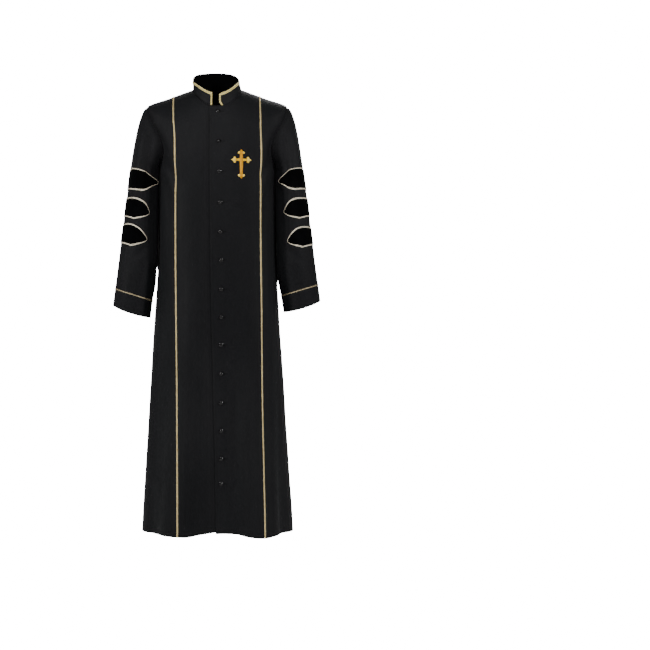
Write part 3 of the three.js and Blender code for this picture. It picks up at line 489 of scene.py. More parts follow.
# %% Distances along a grid
def along_grid(points, axis):
    """Length along the rows or columns of a grid, from its first point."""
    step = np.linalg.norm(np.diff(points, axis=axis), axis=-1)
    pad = [(0, 0), (0, 0)]
    pad[axis] = (1, 0)
    return np.cumsum(np.pad(step, pad), axis=axis)


SEAM_DIP = 0.28


def seam_dip(distance, depth=SEAM_DIP, width=2.2):
    return -depth * np.exp(-((distance / width) ** 2))


# %% [markdown]
# A panel is now the body's surface at the places of its rows and columns, with its creases, seams and pleat.
# The right front sinks under the left one by a little more than a layer of cloth. Towards an edge that other
# pieces join, the creases fade out, so that both sides of the seam stay together.

# %% Make a body panel
# The pleat calms the creases by this share, fully from so far below its top, and beside the centre seam.
PLEAT_CALM = {"share": 0.85, "within": 120, "beside": 30}
LAP_STEP, LAP_RUN = 2.4, (24, 35)  # how deep the right front lies, and where it steps up from there
SHOULDER_CALM = (SHOULDER_ROW + 0.001, SHOULDER_ROW - 0.8)  # rows over which creases fade at the shoulder


def fading_up(rows):
    """1 below the shoulder seam, falling to 0 on it."""
    return ease(share(rows, *SHOULDER_CALM)) ** 0.5


def open_pleat(base, relief, x, level):
    """Draws the cloth in at the centre back, and calms its creases there."""
    grown = share(level, PLEAT["top"], HEM) ** PLEAT["grow"]
    window = 0.5 + 0.5 * np.cos(math.pi * share(x, 0, mix(PLEAT["top_half"], PLEAT["hem_half"], grown)))
    below = ease(share(level, PLEAT["top"], PLEAT["top"] - PLEAT_CALM["within"]))
    relief *= 1 - PLEAT_CALM["share"] * window * below
    relief *= ease(share(x, 0, PLEAT_CALM["beside"]))
    base[..., 1] -= PLEAT["depth"] * grown * window
    base[..., 2] += PLEAT["lift"] * grown**3 * window


def body_panel(columns, side, facing, seams, sink=None, lift_scale=1.0, stripe="left"):
    """A front or back panel as a grid of points, with its flat map and the columns of its stripe."""
    spread, stripe_first, stripe_last = spread_columns(columns, STRIPE[stripe])
    x, angle, level = column_places(spread, ROWS)
    edge_angle, edge_level = outer_edge(ROWS, BITE[facing])
    steps = SIDE_STEPS[None, :]
    side_angle = mix(angle[:, -1:], edge_angle[:, None], steps)
    side_level = mix(level[:, -1:], edge_level[:, None], steps)
    angle, level = np.hstack([angle, side_angle]), np.hstack([level, side_level])
    x = np.hstack([x, np.full(side_angle.shape, 1e6)])
    about = side * (angle if facing == "front" else math.pi - angle)
    base, outward = body_point(about, level), body_outward(about, level)
    relief = cloth_relief(base, outward, CREASES) * (1 - 0.999 * ease(share(level, -60, 2)) * (x < 90))
    relief = relief * fading_up(ROWS)[:, None]
    if facing == "back":
        open_pleat(base, relief, x, level)
    else:
        base[..., 2] -= (1 - lift_scale) * skirt_folds(about, level)[1]
        if sink is not None:
            inward = unit(np.stack([-base[..., 0], -base[..., 1], 0 * x], -1))
            base += inward * sink(x)[..., None]
        relief *= mix(0.35, 1.0, ease(share(np.abs(x), 18, 46)))
    across, up = along_grid(base, 1), along_grid(base, 0)
    if "side" in seams:
        relief = relief + seam_dip(across[:, -1:] - across)
    if "top" in seams:
        relief = relief + seam_dip(up[-1:, :] - up)
    if "centre" in seams:
        relief = relief + seam_dip(across)
    return {
        "points": base + outward * relief[..., None], "flat": np.stack([across, up], -1),
        "x": x[:, :len(spread)], "inner_columns": len(spread), "stripe": (stripe_first, stripe_last),
    }


def underlap_sink(x):
    return LAP_STEP * (1 - ease(share(x, *LAP_RUN)))


FRONT_SEAMS, BACK_SEAMS = ["side", "top"], ["side", "top", "centre"]
panels = {
    "front_left": body_panel(LEFT_COLUMNS, 1, "front", FRONT_SEAMS, lift_scale=0.8),
    "front_right": body_panel(RIGHT_COLUMNS, -1, "front", FRONT_SEAMS, underlap_sink, 1.3, "right"),
    "back_left": body_panel(BACK_COLUMNS, 1, "back", BACK_SEAMS),
    "back_right": body_panel(BACK_COLUMNS, -1, "back", BACK_SEAMS, stripe="right"),
}
for name, panel in panels.items():
    wide, long = panel["flat"][0, -1, 0], panel["flat"][-1, 0, 1]
    print(name, "grid", panel["points"].shape[:2], "hem", round(float(wide)), "length", round(float(long)))

# %% [markdown]
# ## Sleeves
# A sleeve is a tube, cut in one piece with a seam under the arm, and set into the armhole. It starts on the
# armhole of the panels that it joins, then eases over to its own section within the cap.

# %% Sleeve sizes
SLEEVE = {
    "level": [-52, -57, -66, -108, -173, -242, -388, -545, -614, -666],
    "outer": [218, 225.5, 231.5, 246, 260, 270.5, 289, 308, 317, 324],
    "inner": [182, 184, 185, 185.4, 185.6, 185.6, 186, 190, 201, 208.5],
    "innerZ": [-240, -240.8, -242.5, -247, -254.5, -264.5, -415, -577, -645, -697],
    "front": [64, 66, 68, 73, 77, 78, 72, 63, 60, 59],
    "back": [60, 63, 66, 72, 78, 81, 75, 65, 61, 59],
    "forward": [0, 0, 0, 1, 2, 3, 4, 7, 9, 10],
}
sleeve_at = {name: through(SLEEVE["level"], SLEEVE[name]) for name in SLEEVE if name != "level"}
BICEPS, CUFF_LINE, CUFF_EDGE = -242.0, -614.0, -666.0
# How the left (1) and the right sleeve (-1) hang: how far out, how far down at the cuff, how much they lean.
SLEEVE_HANG = {1: {"reach": -2.5, "drop": -11, "lean": 4}, -1: {"reach": 0, "drop": 3, "lean": 7}}
ELBOW = -418
SLEEVE_SQUARE, SLEEVE_RADIUS = 2.15, 62
BACK_DROP, CUFF_DROP = 14, 6  # how much lower the cloth lies behind the arm, and in the middle of the cuff
SLEEVE_ROUND = 108
RING_GAP = 4.6
sleeve_rings = np.concatenate([
    [-52, -52.8, -54, -55.5, -57, -59, -62, -66, -71, -77, -84], np.arange(-90, -612, -RING_GAP),
    [-612.5, -614.7, -617], np.arange(-622, -663, -RING_GAP), [-664.6, -665.5, CUFF_EDGE],
])


# %% The sleeve's surface
def sleeve_section(round_, level):
    """Points of the left sleeve's plain surface, round from its outer line over the front."""
    cosine, sine = power(np.cos(round_), 2 / SLEEVE_SQUARE), power(np.sin(round_), 2 / SLEEVE_SQUARE)
    depth = np.where(sine > 0, sleeve_at["front"](level), sleeve_at["back"](level))
    back = BACK_DROP * ease(share(level, TIP, BICEPS)) * (1 - ease(share(level, BICEPS, CUFF_LINE)))
    dip = CUFF_DROP * share(level, CUFF_LINE, CUFF_EDGE) + np.where(sine < 0, back, 0)
    outer, inner, inner_z = sleeve_at["outer"](level), sleeve_at["inner"](level), sleeve_at["innerZ"](level)
    return np.stack([
        mix(inner, outer, (1 + cosine) / 2),
        -sleeve_at["forward"](level) - depth * sine,
        mix(inner_z, level, (1 + cosine) / 2) - dip * sine * sine,
    ], -1)


def armhole_line(round_, side):
    """The body's armhole, with the panels' relief, round from the shoulder tip over the front."""
    rise = SHOULDER_ROW - ARMPIT_ROW
    column = round_ / math.pi * rise
    front = column <= rise
    row = np.where(front, SHOULDER_ROW - column, ARMPIT_ROW - rise + column)
    front_angle, front_level = outer_edge(row, BITE["front"])
    back_angle, back_level = outer_edge(row, BITE["back"])
    angle = side * np.where(front, front_angle, math.pi - back_angle)
    level = np.where(front, front_level, back_level)
    base, outward = body_point(angle, level), body_outward(angle, level)
    relief = cloth_relief(base, outward, CREASES) * fading_up(row)
    return base + outward * (relief - SEAM_DIP)[..., None]


def gradient(points, axis, wrapped=False):
    if not wrapped:
        return np.gradient(points, axis=axis)
    return (np.roll(points, -1, axis) - np.roll(points, 1, axis)) / 2


def outward_of(points, wrapped=False, flipped=False):
    normal = unit(np.cross(gradient(points, 1, wrapped), gradient(points, 0)))
    return -normal if flipped else normal


def make_sleeve(side):
    """A sleeve as a grid of points, from the armhole over the cap, where it eases to its own section."""
    hang = SLEEVE_HANG[side]
    round_ = np.linspace(0, 2 * math.pi, SLEEVE_ROUND, endpoint=False)[None, :]
    level = sleeve_rings[:, None]
    plain, start = sleeve_section(round_, level), sleeve_section(round_, TIP + 0 * level)
    hung = ease(share(level, ELBOW, CUFF_EDGE))
    fade = (1 - share(level, TIP, BICEPS)) ** 2.2
    plain[..., 0] = (plain[..., 0] + hang["reach"] * (1 - fade)) * side
    plain[..., 2] -= hang["drop"] * hung + hang["lean"] * (1 - fade) * (1 - np.cos(round_)) / 2
    start[..., 0] *= side
    edge = armhole_line(round_, side)
    base = plain + (edge - start) * fade[..., None]
    outward = outward_of(base, wrapped=True, flipped=side < 0)
    across, up = along_grid(base, 1), along_grid(base, 0)
    relief = cloth_relief(base, outward, SLEEVE_CREASES) * ease(share(up, 0, 26))
    from_seam = np.abs(round_ - math.pi) * SLEEVE_RADIUS
    relief += seam_dip(from_seam + 0 * level, 0.4, 1.8) * ease(share(up, 2, 14))
    return {"points": base + outward * relief[..., None], "flat": np.stack([across, up], -1)}


sleeves = {"sleeve_left": make_sleeve(1), "sleeve_right": make_sleeve(-1)}
for name, sleeve in sleeves.items():
    print(name, "grid", sleeve["points"].shape[:2])

# %% [markdown]
# ## From a grid to a cloth wall
# Cloth is a thin wall, not a sheet of paper. The wall is the grid, a second grid a little under two
# millimetres further in, and a rounded edge that joins the two. Blender's Solidify modifier could do it too,
# but making it here keeps each edge round and leaves the seams exactly where they are.

# %% Mesh maker
MILLIMETRE = 0.001
made_pieces = {}
inner_faces = {}  # of each wall, where its faces on the wrong side begin and end


def mesh_piece(name, corners, faces, flat=None):
    """A smooth mesh object from millimetre points, faces turned outwards, with a map of the flat cloth."""
    mesh = bpy.data.meshes.new(name)
    mesh.from_pydata((np.asarray(corners) * MILLIMETRE).tolist(), [], [list(map(int, f)) for f in faces])
    if flat is not None:
        layer = mesh.uv_layers.new(name="flat_cloth")
        order = np.zeros(len(mesh.loops), np.int32)
        mesh.loops.foreach_get("vertex_index", order)
        layer.data.foreach_set("uv", (np.asarray(flat) * MILLIMETRE)[order].astype(np.float32).ravel())
    work = bmesh.new()
    work.from_mesh(mesh)
    bmesh.ops.recalc_face_normals(work, faces=work.faces)
    work.to_mesh(mesh)
    work.free()
    mesh.shade_smooth()
    piece = bpy.data.objects.new(name, mesh)
    bpy.context.scene.collection.objects.link(piece)
    made_pieces[name] = piece
    return piece


# %% Wall maker
EDGE_ROUND = 0.45  # how far an edge is rounded out, as a share of the thickness


def cloth_wall(name, outer, thick, flat, wrapped=False, flipped=False, inner=None):
    """A closed cloth wall whose outer face is the given grid."""
    height, width = outer.shape[:2]
    normal = outward_of(outer, wrapped, flipped)
    inner = outer - normal * thick if inner is None else inner
    index = np.arange(height * width).reshape(height, width)
    beyond = np.roll(index, -1, 1) if wrapped else index[:, 1:]
    here = index if wrapped else index[:, :-1]
    a, b, c, d = here[:-1].ravel(), beyond[:-1].ravel(), beyond[1:].ravel(), here[1:].ravel()
    count = height * width
    faces = [np.stack([a, b, c, d], -1), np.stack([a, d, c, b], -1) + count]
    corners = [outer.reshape(-1, 3), inner.reshape(-1, 3)]
    maps = [flat.reshape(-1, 2), flat.reshape(-1, 2)]
    if wrapped:
        loops = [(index[0], index[1]), (index[-1], index[-2])]
    else:
        rim = np.concatenate([index[0, :-1], index[:-1, -1], index[-1, :0:-1], index[:0:-1, 0]])
        inside = np.concatenate([index[1, :-1], index[:-1, -2], index[-2, :0:-1], index[:0:-1, 1]])
        loops = [(rim, inside)]
    total = 2 * count
    both = np.concatenate(corners)
    for rim, inside in loops:
        out = unit(both[rim] - both[inside])
        ridge = (both[rim] + both[rim + count]) / 2 + out * thick * EDGE_ROUND
        corners.append(ridge)
        maps.append(flat.reshape(-1, 2)[rim])
        ring = np.arange(len(rim)) + total
        after, ring_after = np.roll(rim, -1), np.roll(ring, -1)
        faces.append(np.stack([after, rim, ring, ring_after], -1))
        faces.append(np.stack([ring_after, ring, rim + count, after + count], -1))
        total += len(rim)
    piece = mesh_piece(name, np.concatenate(corners), np.concatenate(faces), np.concatenate(maps))
    inner_faces[name] = (len(a), 2 * len(a))
    return piece


# %% [markdown]
# The four body panels and the two sleeves become walls. The fronts are faced along the buttoned edge, so the
# wall is a little thicker than one layer of gabardine everywhere.

# %% Body and sleeve walls
CLOTH = 1.7
MIRRORED = ["front_right", "back_left", "sleeve_right"]  # grids that run the other way round
for name, form in {**panels, **sleeves}.items():
    turns = {"wrapped": name in sleeves, "flipped": name in MIRRORED}
    form["normal"] = outward_of(form["points"], **turns)
    piece = cloth_wall(name + "_cloth", form["points"], CLOTH, form["flat"], **turns)
    print(name, "faces", len(piece.data.polygons))

# %% [markdown]
# ## Collar
# The stand collar is a straight band, sewn to the neckline and leaning in a little towards the neck. Its
# front ends stop short of each other and leave a gap for the white tab that the wearer puts in. The left end
# doesn't meet the neckline squarely: its lower corner is curved back.

# %% Read a grid between its points
def on_grid(grid, rows, columns, wrapped=False):
    """Values of a grid at fractional rows and columns."""
    height, width = grid.shape[:2]
    rows = np.clip(rows, 0, height - 1)
    low = np.minimum(rows.astype(int), height - 2)
    up = (rows - low)[..., None]
    if wrapped:
        left = np.floor(columns).astype(int)
        right, over = (left + 1) % width, (columns - left)[..., None]
        left = left % width
    else:
        columns = np.clip(columns, 0, width - 1)
        left = np.minimum(columns.astype(int), width - 2)
        right, over = left + 1, (columns - left)[..., None]
    lower = mix(grid[low, left], grid[low, right], over)
    return mix(lower, mix(grid[low + 1, left], grid[low + 1, right], over), up)


# %% Collar band
# The upper edge: half its width, its depths and heights, and how fast it falls to the front and rises behind.
COLLAR_TOP = {
    "x": -4, "half": 71.5, "front": 80, "back": 63, "frontZ": -20, "sideZ": 26, "backZ": 67,
    "fall": 2.1, "rise": 0.5, "left_rise": 0.7,
}
COLLAR_START = {"front_left": 6, "front_right": 16, "back_left": 0, "back_right": 0}
END_CURVE = {"back": 7.5, "over": 0.42}  # how far the left end's lower corner is cut back, up to what height
COLLAR_THICK = 1.9


def neckline(name, reverse):
    """The top of a panel, from where the collar starts on it to the shoulder seam."""
    start = COLLAR_START[name]
    panel = panels[name]
    x = panel["x"][-1]
    from_ = int(np.argmin(np.abs(x - start)))
    line = panel["points"][-1, from_:panel["inner_columns"]]
    keep = x[from_:] <= NECK_HALF + 1e-6
    line = line[keep]
    return line[::-1] if reverse else line


def collar_grid():
    """The collar's band, from the neckline to its upper edge and from the right end round to the left one."""
    seam = np.concatenate([
        neckline("front_right", False), neckline("back_right", True)[1:],
        neckline("back_left", False)[1:], neckline("front_left", True)[1:],
    ])
    top = COLLAR_TOP
    neck_depth = np.where(seam[:, 1] < 0, NECK_FRONT, NECK_BACK)
    round_ = np.arctan2(seam[:, 0] / NECK_HALF, -seam[:, 1] / neck_depth)
    cosine = np.cos(round_)
    front_level = mix(top["sideZ"], top["frontZ"], np.abs(cosine) ** top["fall"])
    slow = np.where(seam[:, 0] > 0, top["left_rise"], top["rise"])
    back_level = mix(top["sideZ"], top["backZ"], np.abs(cosine) ** slow)
    level = np.where(cosine > 0, front_level, back_level)
    depth = np.where(cosine > 0, top["front"], top["back"])
    aside = top["x"] * np.sin(round_) ** 2
    edge = np.stack([top["half"] * np.sin(round_) + aside, -depth * cosine, level], -1)
    lowered = np.interp(seam[:, 0], [6, 14, 25], [0.88, 1, 1])
    left_end = np.where((seam[:, 0] > 0) & (seam[:, 1] < 0), lowered, 1.0)
    upper = mix(seam, edge, left_end[:, None])
    rise = np.linspace(0, 1, 17)[:, None, None]
    return mix(seam[None], upper[None], rise)


def cut_away(grid):
    """The collar with its left end curved back where it meets the neckline."""
    rows, width = grid.shape[:2]
    long = along_grid(grid, 1)[0, -1]
    rise = np.linspace(0, 1, rows)[:, None]
    back = END_CURVE["back"] * np.clip(1 - rise / END_CURVE["over"], 0, 1) ** 1.5
    columns = np.arange(width) * (1 - back / long)
    return on_grid(grid, np.arange(rows)[:, None] + 0 * columns, columns)


collar = {"points": cut_away(collar_grid())}
collar["normal"] = outward_of(collar["points"], flipped=True)
collar_line, collar_rise = along_grid(collar["points"], 1), along_grid(collar["points"], 0)
collar["points"] += collar["normal"] * seam_dip(collar_rise, 0.5, 2.0)[..., None]
collar["flat"] = np.stack([collar_line, collar_rise], -1)
cloth_wall("collar_cloth", collar["points"], COLLAR_THICK, collar["flat"], flipped=True)
print("collar length", round(float(collar_line[-1].max())), "height", round(float(collar_rise[-1].max())))

# %% [markdown]
# ## Braid
# The trim is a narrow gilt braid. Two thick cords run along it with a furrow between them, and the plait
# shows as slanting ribs. A bump map would do from afar, but the ribs catch the light one by one, so they are
# real geometry: a domed strip whose height rises and falls along its length.

# %% Lay a braid between two lines
CORD_HALF, RIB_SLANT, RIB_DEPTH = 0.56, 0.9, 0.38


def plait(along, across, pitch, thick):
    """Height of the braid: two domed cords with slanting ribs, along it and from edge to edge (-1 to 1)."""
    dome = np.sqrt(np.clip(1 - (np.abs(np.abs(across) - 0.5) / CORD_HALF) ** 2, 0, 1))
    rib = np.abs(np.sin(math.pi * (along / pitch + RIB_SLANT * np.abs(across))))
    return thick * dome * (1 - RIB_DEPTH + RIB_DEPTH * rib)


SUNK = 0.15  # how far the underside of a braid is pressed into the cloth


def braid_strip(name, one, other, normal, along, thick=1.3, lift=0.25, pitch=2.6, closed=False, count=9):
    """A braid on the cloth between two matched lines; normal is the cloth's outward direction there."""
    across = np.linspace(-1, 1, count)
    height = plait(along[:, None], across[None, :], pitch, thick) + lift
    flat_line = mix(one[:, None, :], other[:, None, :], (across[None, :, None] + 1) / 2)
    top = flat_line + normal[:, None, :] * height[..., None]
    base = np.stack([other - normal * SUNK, one - normal * SUNK], 1)
    section = np.concatenate([top, base], 1)
    rows, width = section.shape[:2]
    index = np.arange(rows * width).reshape(rows, width)
    after = np.roll(index, -1, 1)
    here, there = (index, after), (np.roll(index, -1, 0), np.roll(after, -1, 0))
    stop = rows if closed else rows - 1
    faces = np.stack([part[:stop].ravel() for part in (here[0], here[1], there[1], there[0])], -1).tolist()
    if not closed:
        faces += [index[0].tolist(), index[-1][::-1].tolist()]
    wide = np.linalg.norm(one - other, axis=-1)[:, None]
    flat_across = np.concatenate([across, [1, -1]])[None, :] * wide / 2
    flat = np.stack([flat_across, np.repeat(along[:, None], width, 1)], -1)
    return mesh_piece(name, section.reshape(-1, 3), faces, flat.reshape(-1, 2))


BRAID_STEP = 0.65


def evenly(line, step):
    """Places along a line of points, a step apart, as fractions of its index, and their lengths."""
    length = np.concatenate([[0], np.cumsum(np.linalg.norm(np.diff(line, axis=0), axis=-1))])
    at = np.linspace(0, length[-1], max(2, int(length[-1] / step) + 1))
    return np.interp(at, length, np.arange(len(line))), at


# %% [markdown]
# The long braids run down each front from the shoulder to the hem, over the creases of the cloth under them.

# %% Long braids
STRIPE_INSET = 0.14  # share of the bed left free on each side
for side in ("left", "right"):
    panel = panels["front_" + side]
    first, last = panel["stripe"]
    centre = panel["points"][:, (first + last) // 2]
    rows, along = evenly(centre, BRAID_STEP)
    rows, along = rows[1:-1], along[1:-1]
    edges = [on_grid(panel["points"], rows, np.full(len(rows), float(column))) for column in (first, last)]
    one, other = mix(*edges, STRIPE_INSET), mix(*edges, 1 - STRIPE_INSET)
    normal = unit(on_grid(panel["normal"], rows, np.full(len(rows), (first + last) / 2)))
    piece = braid_strip("stripe_braid_" + side, one, other, normal, along)
    wide = float(np.linalg.norm(one - other, axis=-1).mean())
    print(piece.name, "length", round(float(along[-1])), "width", round(wide, 1))

# %% [markdown]
# The cuff braid goes once round each sleeve. The collar's braid goes up one end, along the upper edge and
# down the other end, and turns the two corners with a mitre.

# %% Cuff braids
CUFF_BRAID = (-612.9, -616.6)  # heights of its two edges on the outer line


def ring_row(level):
    return np.interp(-level, -sleeve_rings, np.arange(len(sleeve_rings)))


for side in ("left", "right"):
    sleeve = sleeves["sleeve_" + side]
    top, base = (ring_row(level) for level in CUFF_BRAID)
    width = sleeve["points"].shape[1]
    line = on_grid(sleeve["points"], np.full(width + 1, (top + base) / 2), np.arange(width + 1.0), True)
    columns, along = evenly(line, BRAID_STEP)
    columns, along = columns[:-1], along[:-1]
    one = on_grid(sleeve["points"], np.full(len(columns), top), columns, True)
    other = on_grid(sleeve["points"], np.full(len(columns), base), columns, True)
    normal = unit(on_grid(sleeve["normal"], np.full(len(columns), (top + base) / 2), columns, True))
    piece = braid_strip("cuff_trim_" + side, one, other, normal, along, closed=True, thick=1.2)
    print(piece.name, "length", round(float(along[-1])))

# %% Collar braid
COLLAR_BRAID = 8.0
COLLAR_ENDS = {"right": 0.66, "left": 0.76}  # the braid is drawn in where it turns down the two ends


def collar_path(inset):
    """The line round the collar at a distance inside its ends and upper edge, as places on its grid."""
    lengths, rises = collar_line[-1], collar_rise
    rows, width = collar_rise.shape
    places = []
    for end, direction, part in ((0.0, 1, COLLAR_ENDS["right"]), (lengths[-1], -1, COLLAR_ENDS["left"])):
        column = np.interp(end + direction * inset * part, lengths, np.arange(width))
        height = np.interp(column, np.arange(width), rises[-1])
        places.append((column, (1 - inset / height) * (rows - 1)))
    (left, left_top), (right, right_top) = places
    steps = np.linspace(0, 1, 40)[:, None]
    up = mix(np.array([left, 0.0]), np.array([left, left_top]), steps)
    middle_columns = mix(left, right, np.linspace(0, 1, 400))
    heights = np.interp(middle_columns, np.arange(width), rises[-1])
    middle = np.stack([middle_columns, (1 - inset / heights) * (rows - 1)], -1)
    down = mix(np.array([right, right_top]), np.array([right, 0.0]), steps)
    return np.concatenate([up, middle[1:-1], down])


outside, inside = collar_path(0.3), collar_path(COLLAR_BRAID)
middle = collar_path(COLLAR_BRAID / 2)
centre = on_grid(collar["points"], middle[:, 1], middle[:, 0])
at, along = evenly(centre, BRAID_STEP)


def resampled(path):
    return np.stack([np.interp(at, np.arange(len(path)), path[:, k]) for k in (0, 1)], -1)


outside, inside, middle = resampled(outside), resampled(inside), resampled(middle)
one = on_grid(collar["points"], outside[:, 1], outside[:, 0])
other = on_grid(collar["points"], inside[:, 1], inside[:, 0])
normal = unit(on_grid(collar["normal"], middle[:, 1], middle[:, 0]))
piece = braid_strip("collar_trim", one, other, normal, along, thick=1.6, pitch=7.5, count=11)
print(piece.name, "length", round(float(along[-1])))

# %% [markdown]
# ## Velvet bars
# Three bars of black velvet lie round each sleeve, pointed at both ends and edged with a narrow braid. They
# are the bars of a doctor's gown. The velvet is a thin cushion of pile: a grid between the bar's two edges,
# a little higher in the middle, with its own wall.

# %% Shape of the bars
# Heights of the two edges on the sleeve's outer line, how low the points lie between them, and the degrees
# and the curve in which the lower edge runs out. Then, for the left and the right sleeve, how far the upper
# edge arches, the degrees from the outer line to the bar's points, and how much lower the bar is sewn. The
# arch is highest near the point, and a share of it, ARCH_KEPT, is kept towards the outer line.
BARS = [
    {"top": -247, "base": -311, "low": 0.48, "base_run": 66, "sweep": 1.35,
     "crown": (10, 6), "points": (147, 157), "lower": (0, 0)},
    {"top": -338.5, "base": -393.5, "low": 0.4, "base_run": 58, "sweep": 1.1,
     "crown": (7, 7), "points": (131, 130), "lower": (0, 0)},
    {"top": -422, "base": -476, "low": 0.35, "base_run": 50, "sweep": 1.3,
     "crown": (14, 12), "points": (118, 119), "lower": (7.5, -1)},
]
BAR_BRAID, BAR_TOP_RUN, BAR_ROUND, BAR_TIP = 4.6, 50.0, 0.5, 0.04
ARCH_KEPT, ARCH_RISE, ARCH_FALL = (0.65, 0.9), 0.28, 0.6
MM_PER_DEGREE = 2.05


def bars_of(side):
    """The bars as they are sewn on the left or the right sleeve."""
    which = 0 if side == "left" else 1
    sewn = []
    for bar in BARS:
        down = bar["lower"][which]
        own = {"points": bar["points"][which], "crown": bar["crown"][which], "kept": ARCH_KEPT[which]}
        sewn.append({**bar, **own, "top": bar["top"] - down, "base": bar["base"] - down})
    return sewn


def bar_edges(bar, degrees):
    """Heights of a bar's upper and lower edge at degrees round from the sleeve's outer line."""
    to_point = np.maximum(0, bar["points"] - np.abs(degrees))
    height = bar["top"] - bar["base"]
    point = bar["top"] - height * bar["low"]
    upper = share(to_point, 0, BAR_TOP_RUN) ** BAR_ROUND
    lower = 1 - (1 - share(to_point, 0, bar["base_run"])) ** bar["sweep"]
    along = to_point / bar["points"]
    arch = bar["crown"] * ease(share(along, 0, ARCH_RISE)) * ease(share(along, 1, 0.5))
    arch = arch * (1 - (1 - bar["kept"]) * ease(share(along, ARCH_RISE, ARCH_FALL)))
    tip = BAR_TIP * height
    return mix(point + tip, bar["top"], upper) + arch, mix(point - tip, bar["base"], lower)


def narrowed(bar, by):
    """The same bar, made smaller by a width in millimetres all round."""
    points = bar["points"] - 1.5 * by / MM_PER_DEGREE
    return {**bar, "top": bar["top"] - by, "base": bar["base"] + by, "points": points}


def on_sleeve(sleeve, degrees, level, what="points"):
    """Points or directions of a sleeve, by degrees round from its outer line over the front, and height."""
    return on_grid(sleeve[what], ring_row(level), degrees / 360 * sleeve["points"].shape[1], True)


# %% Velvet and its braid
def crowded(count):
    """Steps from -1 to 1 that crowd towards both ends."""
    return np.sin(np.linspace(-1, 1, count) * math.pi / 2)


VELVET_WALL, VELVET_LIFT, VELVET_EDGE, VELVET_CROWN = 1.1, 0.25, 0.9, 0.9


def bar_velvet(name, sleeve, bar):
    """The velvet of a bar: a cushion that reaches under the middle of its braid."""
    inner = narrowed(bar, BAR_BRAID * 0.6)
    degrees = inner["points"] * crowded(150)
    upper, lower = bar_edges(inner, degrees)
    up = np.linspace(0, 1, 19)[:, None]
    level = mix(lower, upper, up)
    degrees_all = degrees + 0 * up
    base = on_sleeve(sleeve, degrees_all, level)
    normal = unit(on_sleeve(sleeve, degrees_all, level, "normal"))
    dome = np.sqrt(np.clip(1 - (2 * up - 1) ** 8, 0, 1))
    crown = VELVET_EDGE + VELVET_CROWN * dome + swell(base, 26, 1.0, 31) * 0.1
    outer = base + normal * crown[..., None]
    flat = np.stack([along_grid(base, 1), along_grid(base, 0)], -1)
    return cloth_wall(name, outer, VELVET_WALL, flat, inner=base + normal * VELVET_LIFT)


def bar_loop(bar):
    """The bar's outline, once round, as degrees and heights."""
    degrees = bar["points"] * crowded(160)
    upper, lower = bar_edges(bar, degrees)
    return np.concatenate([np.stack([degrees, upper], -1), np.stack([degrees, lower], -1)[::-1]])


def bar_trim(name, sleeve, bar):
    """The closed braid round a bar."""
    outside, inside = bar_loop(bar), bar_loop(narrowed(bar, BAR_BRAID))
    middle = bar_loop(narrowed(bar, BAR_BRAID / 2))
    line = on_sleeve(sleeve, middle[:, 0], middle[:, 1])
    at, along = evenly(np.concatenate([line, line[:1]]), BRAID_STEP)
    at, along = at[:-1], along[:-1]

    def placed(path):
        path = np.concatenate([path, path[:1]])
        return np.stack([np.interp(at, np.arange(len(path)), path[:, k]) for k in (0, 1)], -1)

    outside, inside, middle = placed(outside), placed(inside), placed(middle)
    one, other = on_sleeve(sleeve, *outside.T), on_sleeve(sleeve, *inside.T)
    normal = unit(on_sleeve(sleeve, *middle.T, what="normal"))
    return braid_strip(name, one, other, normal, along, closed=True, thick=1.3, lift=0.5)


for side in ("left", "right"):
    for k, bar in enumerate(bars_of(side), 1):
        velvet = bar_velvet(f"velvet_{side}_{k}", sleeves["sleeve_" + side], bar)
        trim = bar_trim(f"bar_trim_{side}_{k}", sleeves["sleeve_" + side], bar)
        print(velvet.name, len(velvet.data.polygons), trim.name, len(trim.data.polygons))

# %% [markdown]
# ## Buttons
# The fourteen buttons are small black domes on a shank, as polished as jet. Each is turned like a bowl: a
# profile from the back to the crown is spun round its axis. They sit on the left front in a row that drifts a
# little to the wearer's left. A buttonhole, bound with black thread, runs from each one away from the edge.

# %% Find the cloth under a point
BUTTON_HEIGHTS = [-77, -172, -265, -359, -448, -534, -622, -706, -790, -877, -965, -1049, -1133, -1208]
BUTTONS = range(1, 1 + len(BUTTON_HEIGHTS))
FIRST_GUESS, ROUNDS = 100, 5
left_front = panels["front_left"]


def on_front(x, z):
    """The left front's surface and outward direction straight behind (x, z), found in a few rounds."""
    points, normal = left_front["points"], left_front["normal"]
    x, z = np.atleast_1d(x).astype(float), np.atleast_1d(z).astype(float)
    rows, columns = np.arange(len(points), dtype=float), np.arange(left_front["inner_columns"], dtype=float)
    column, row = np.interp(x, left_front["x"][FIRST_GUESS], columns), np.zeros_like(x)
    for _ in range(ROUNDS):
        for k in range(len(x)):
            line = on_grid(points, rows, np.full(len(rows), column[k]))
            row[k] = np.interp(z[k], line[:, 2], rows)
            across = on_grid(points, np.full(len(columns), row[k]), columns)
            column[k] = np.interp(x[k], across[:, 0], columns)
    return on_grid(points, row, column), unit(on_grid(normal, row, column))


def button_x(z):
    """The row of buttons drifts 9 mm to the wearer's left over the first six."""
    return 2.5 + 9 * share(z, BUTTON_HEIGHTS[0], BUTTON_HEIGHTS[5])


# %% Turn the buttons
def button_profile():
    """Radius and height of a domed button, from the middle of its back to its crown."""
    back = [(0, 0.25), (3.4, 0.25), (4.9, 0.35), (5.7, 0.6)]
    rim = [(6.15, 1.0), (6.3, 1.5), (6.15, 2.0), (5.8, 2.35), (5.45, 2.45)]
    dome = [(5.2 * math.cos(t), 2.4 + 2.35 * math.sin(t)) for t in np.linspace(0.1, math.pi / 2, 9)]
    return np.array(back + rim + dome)


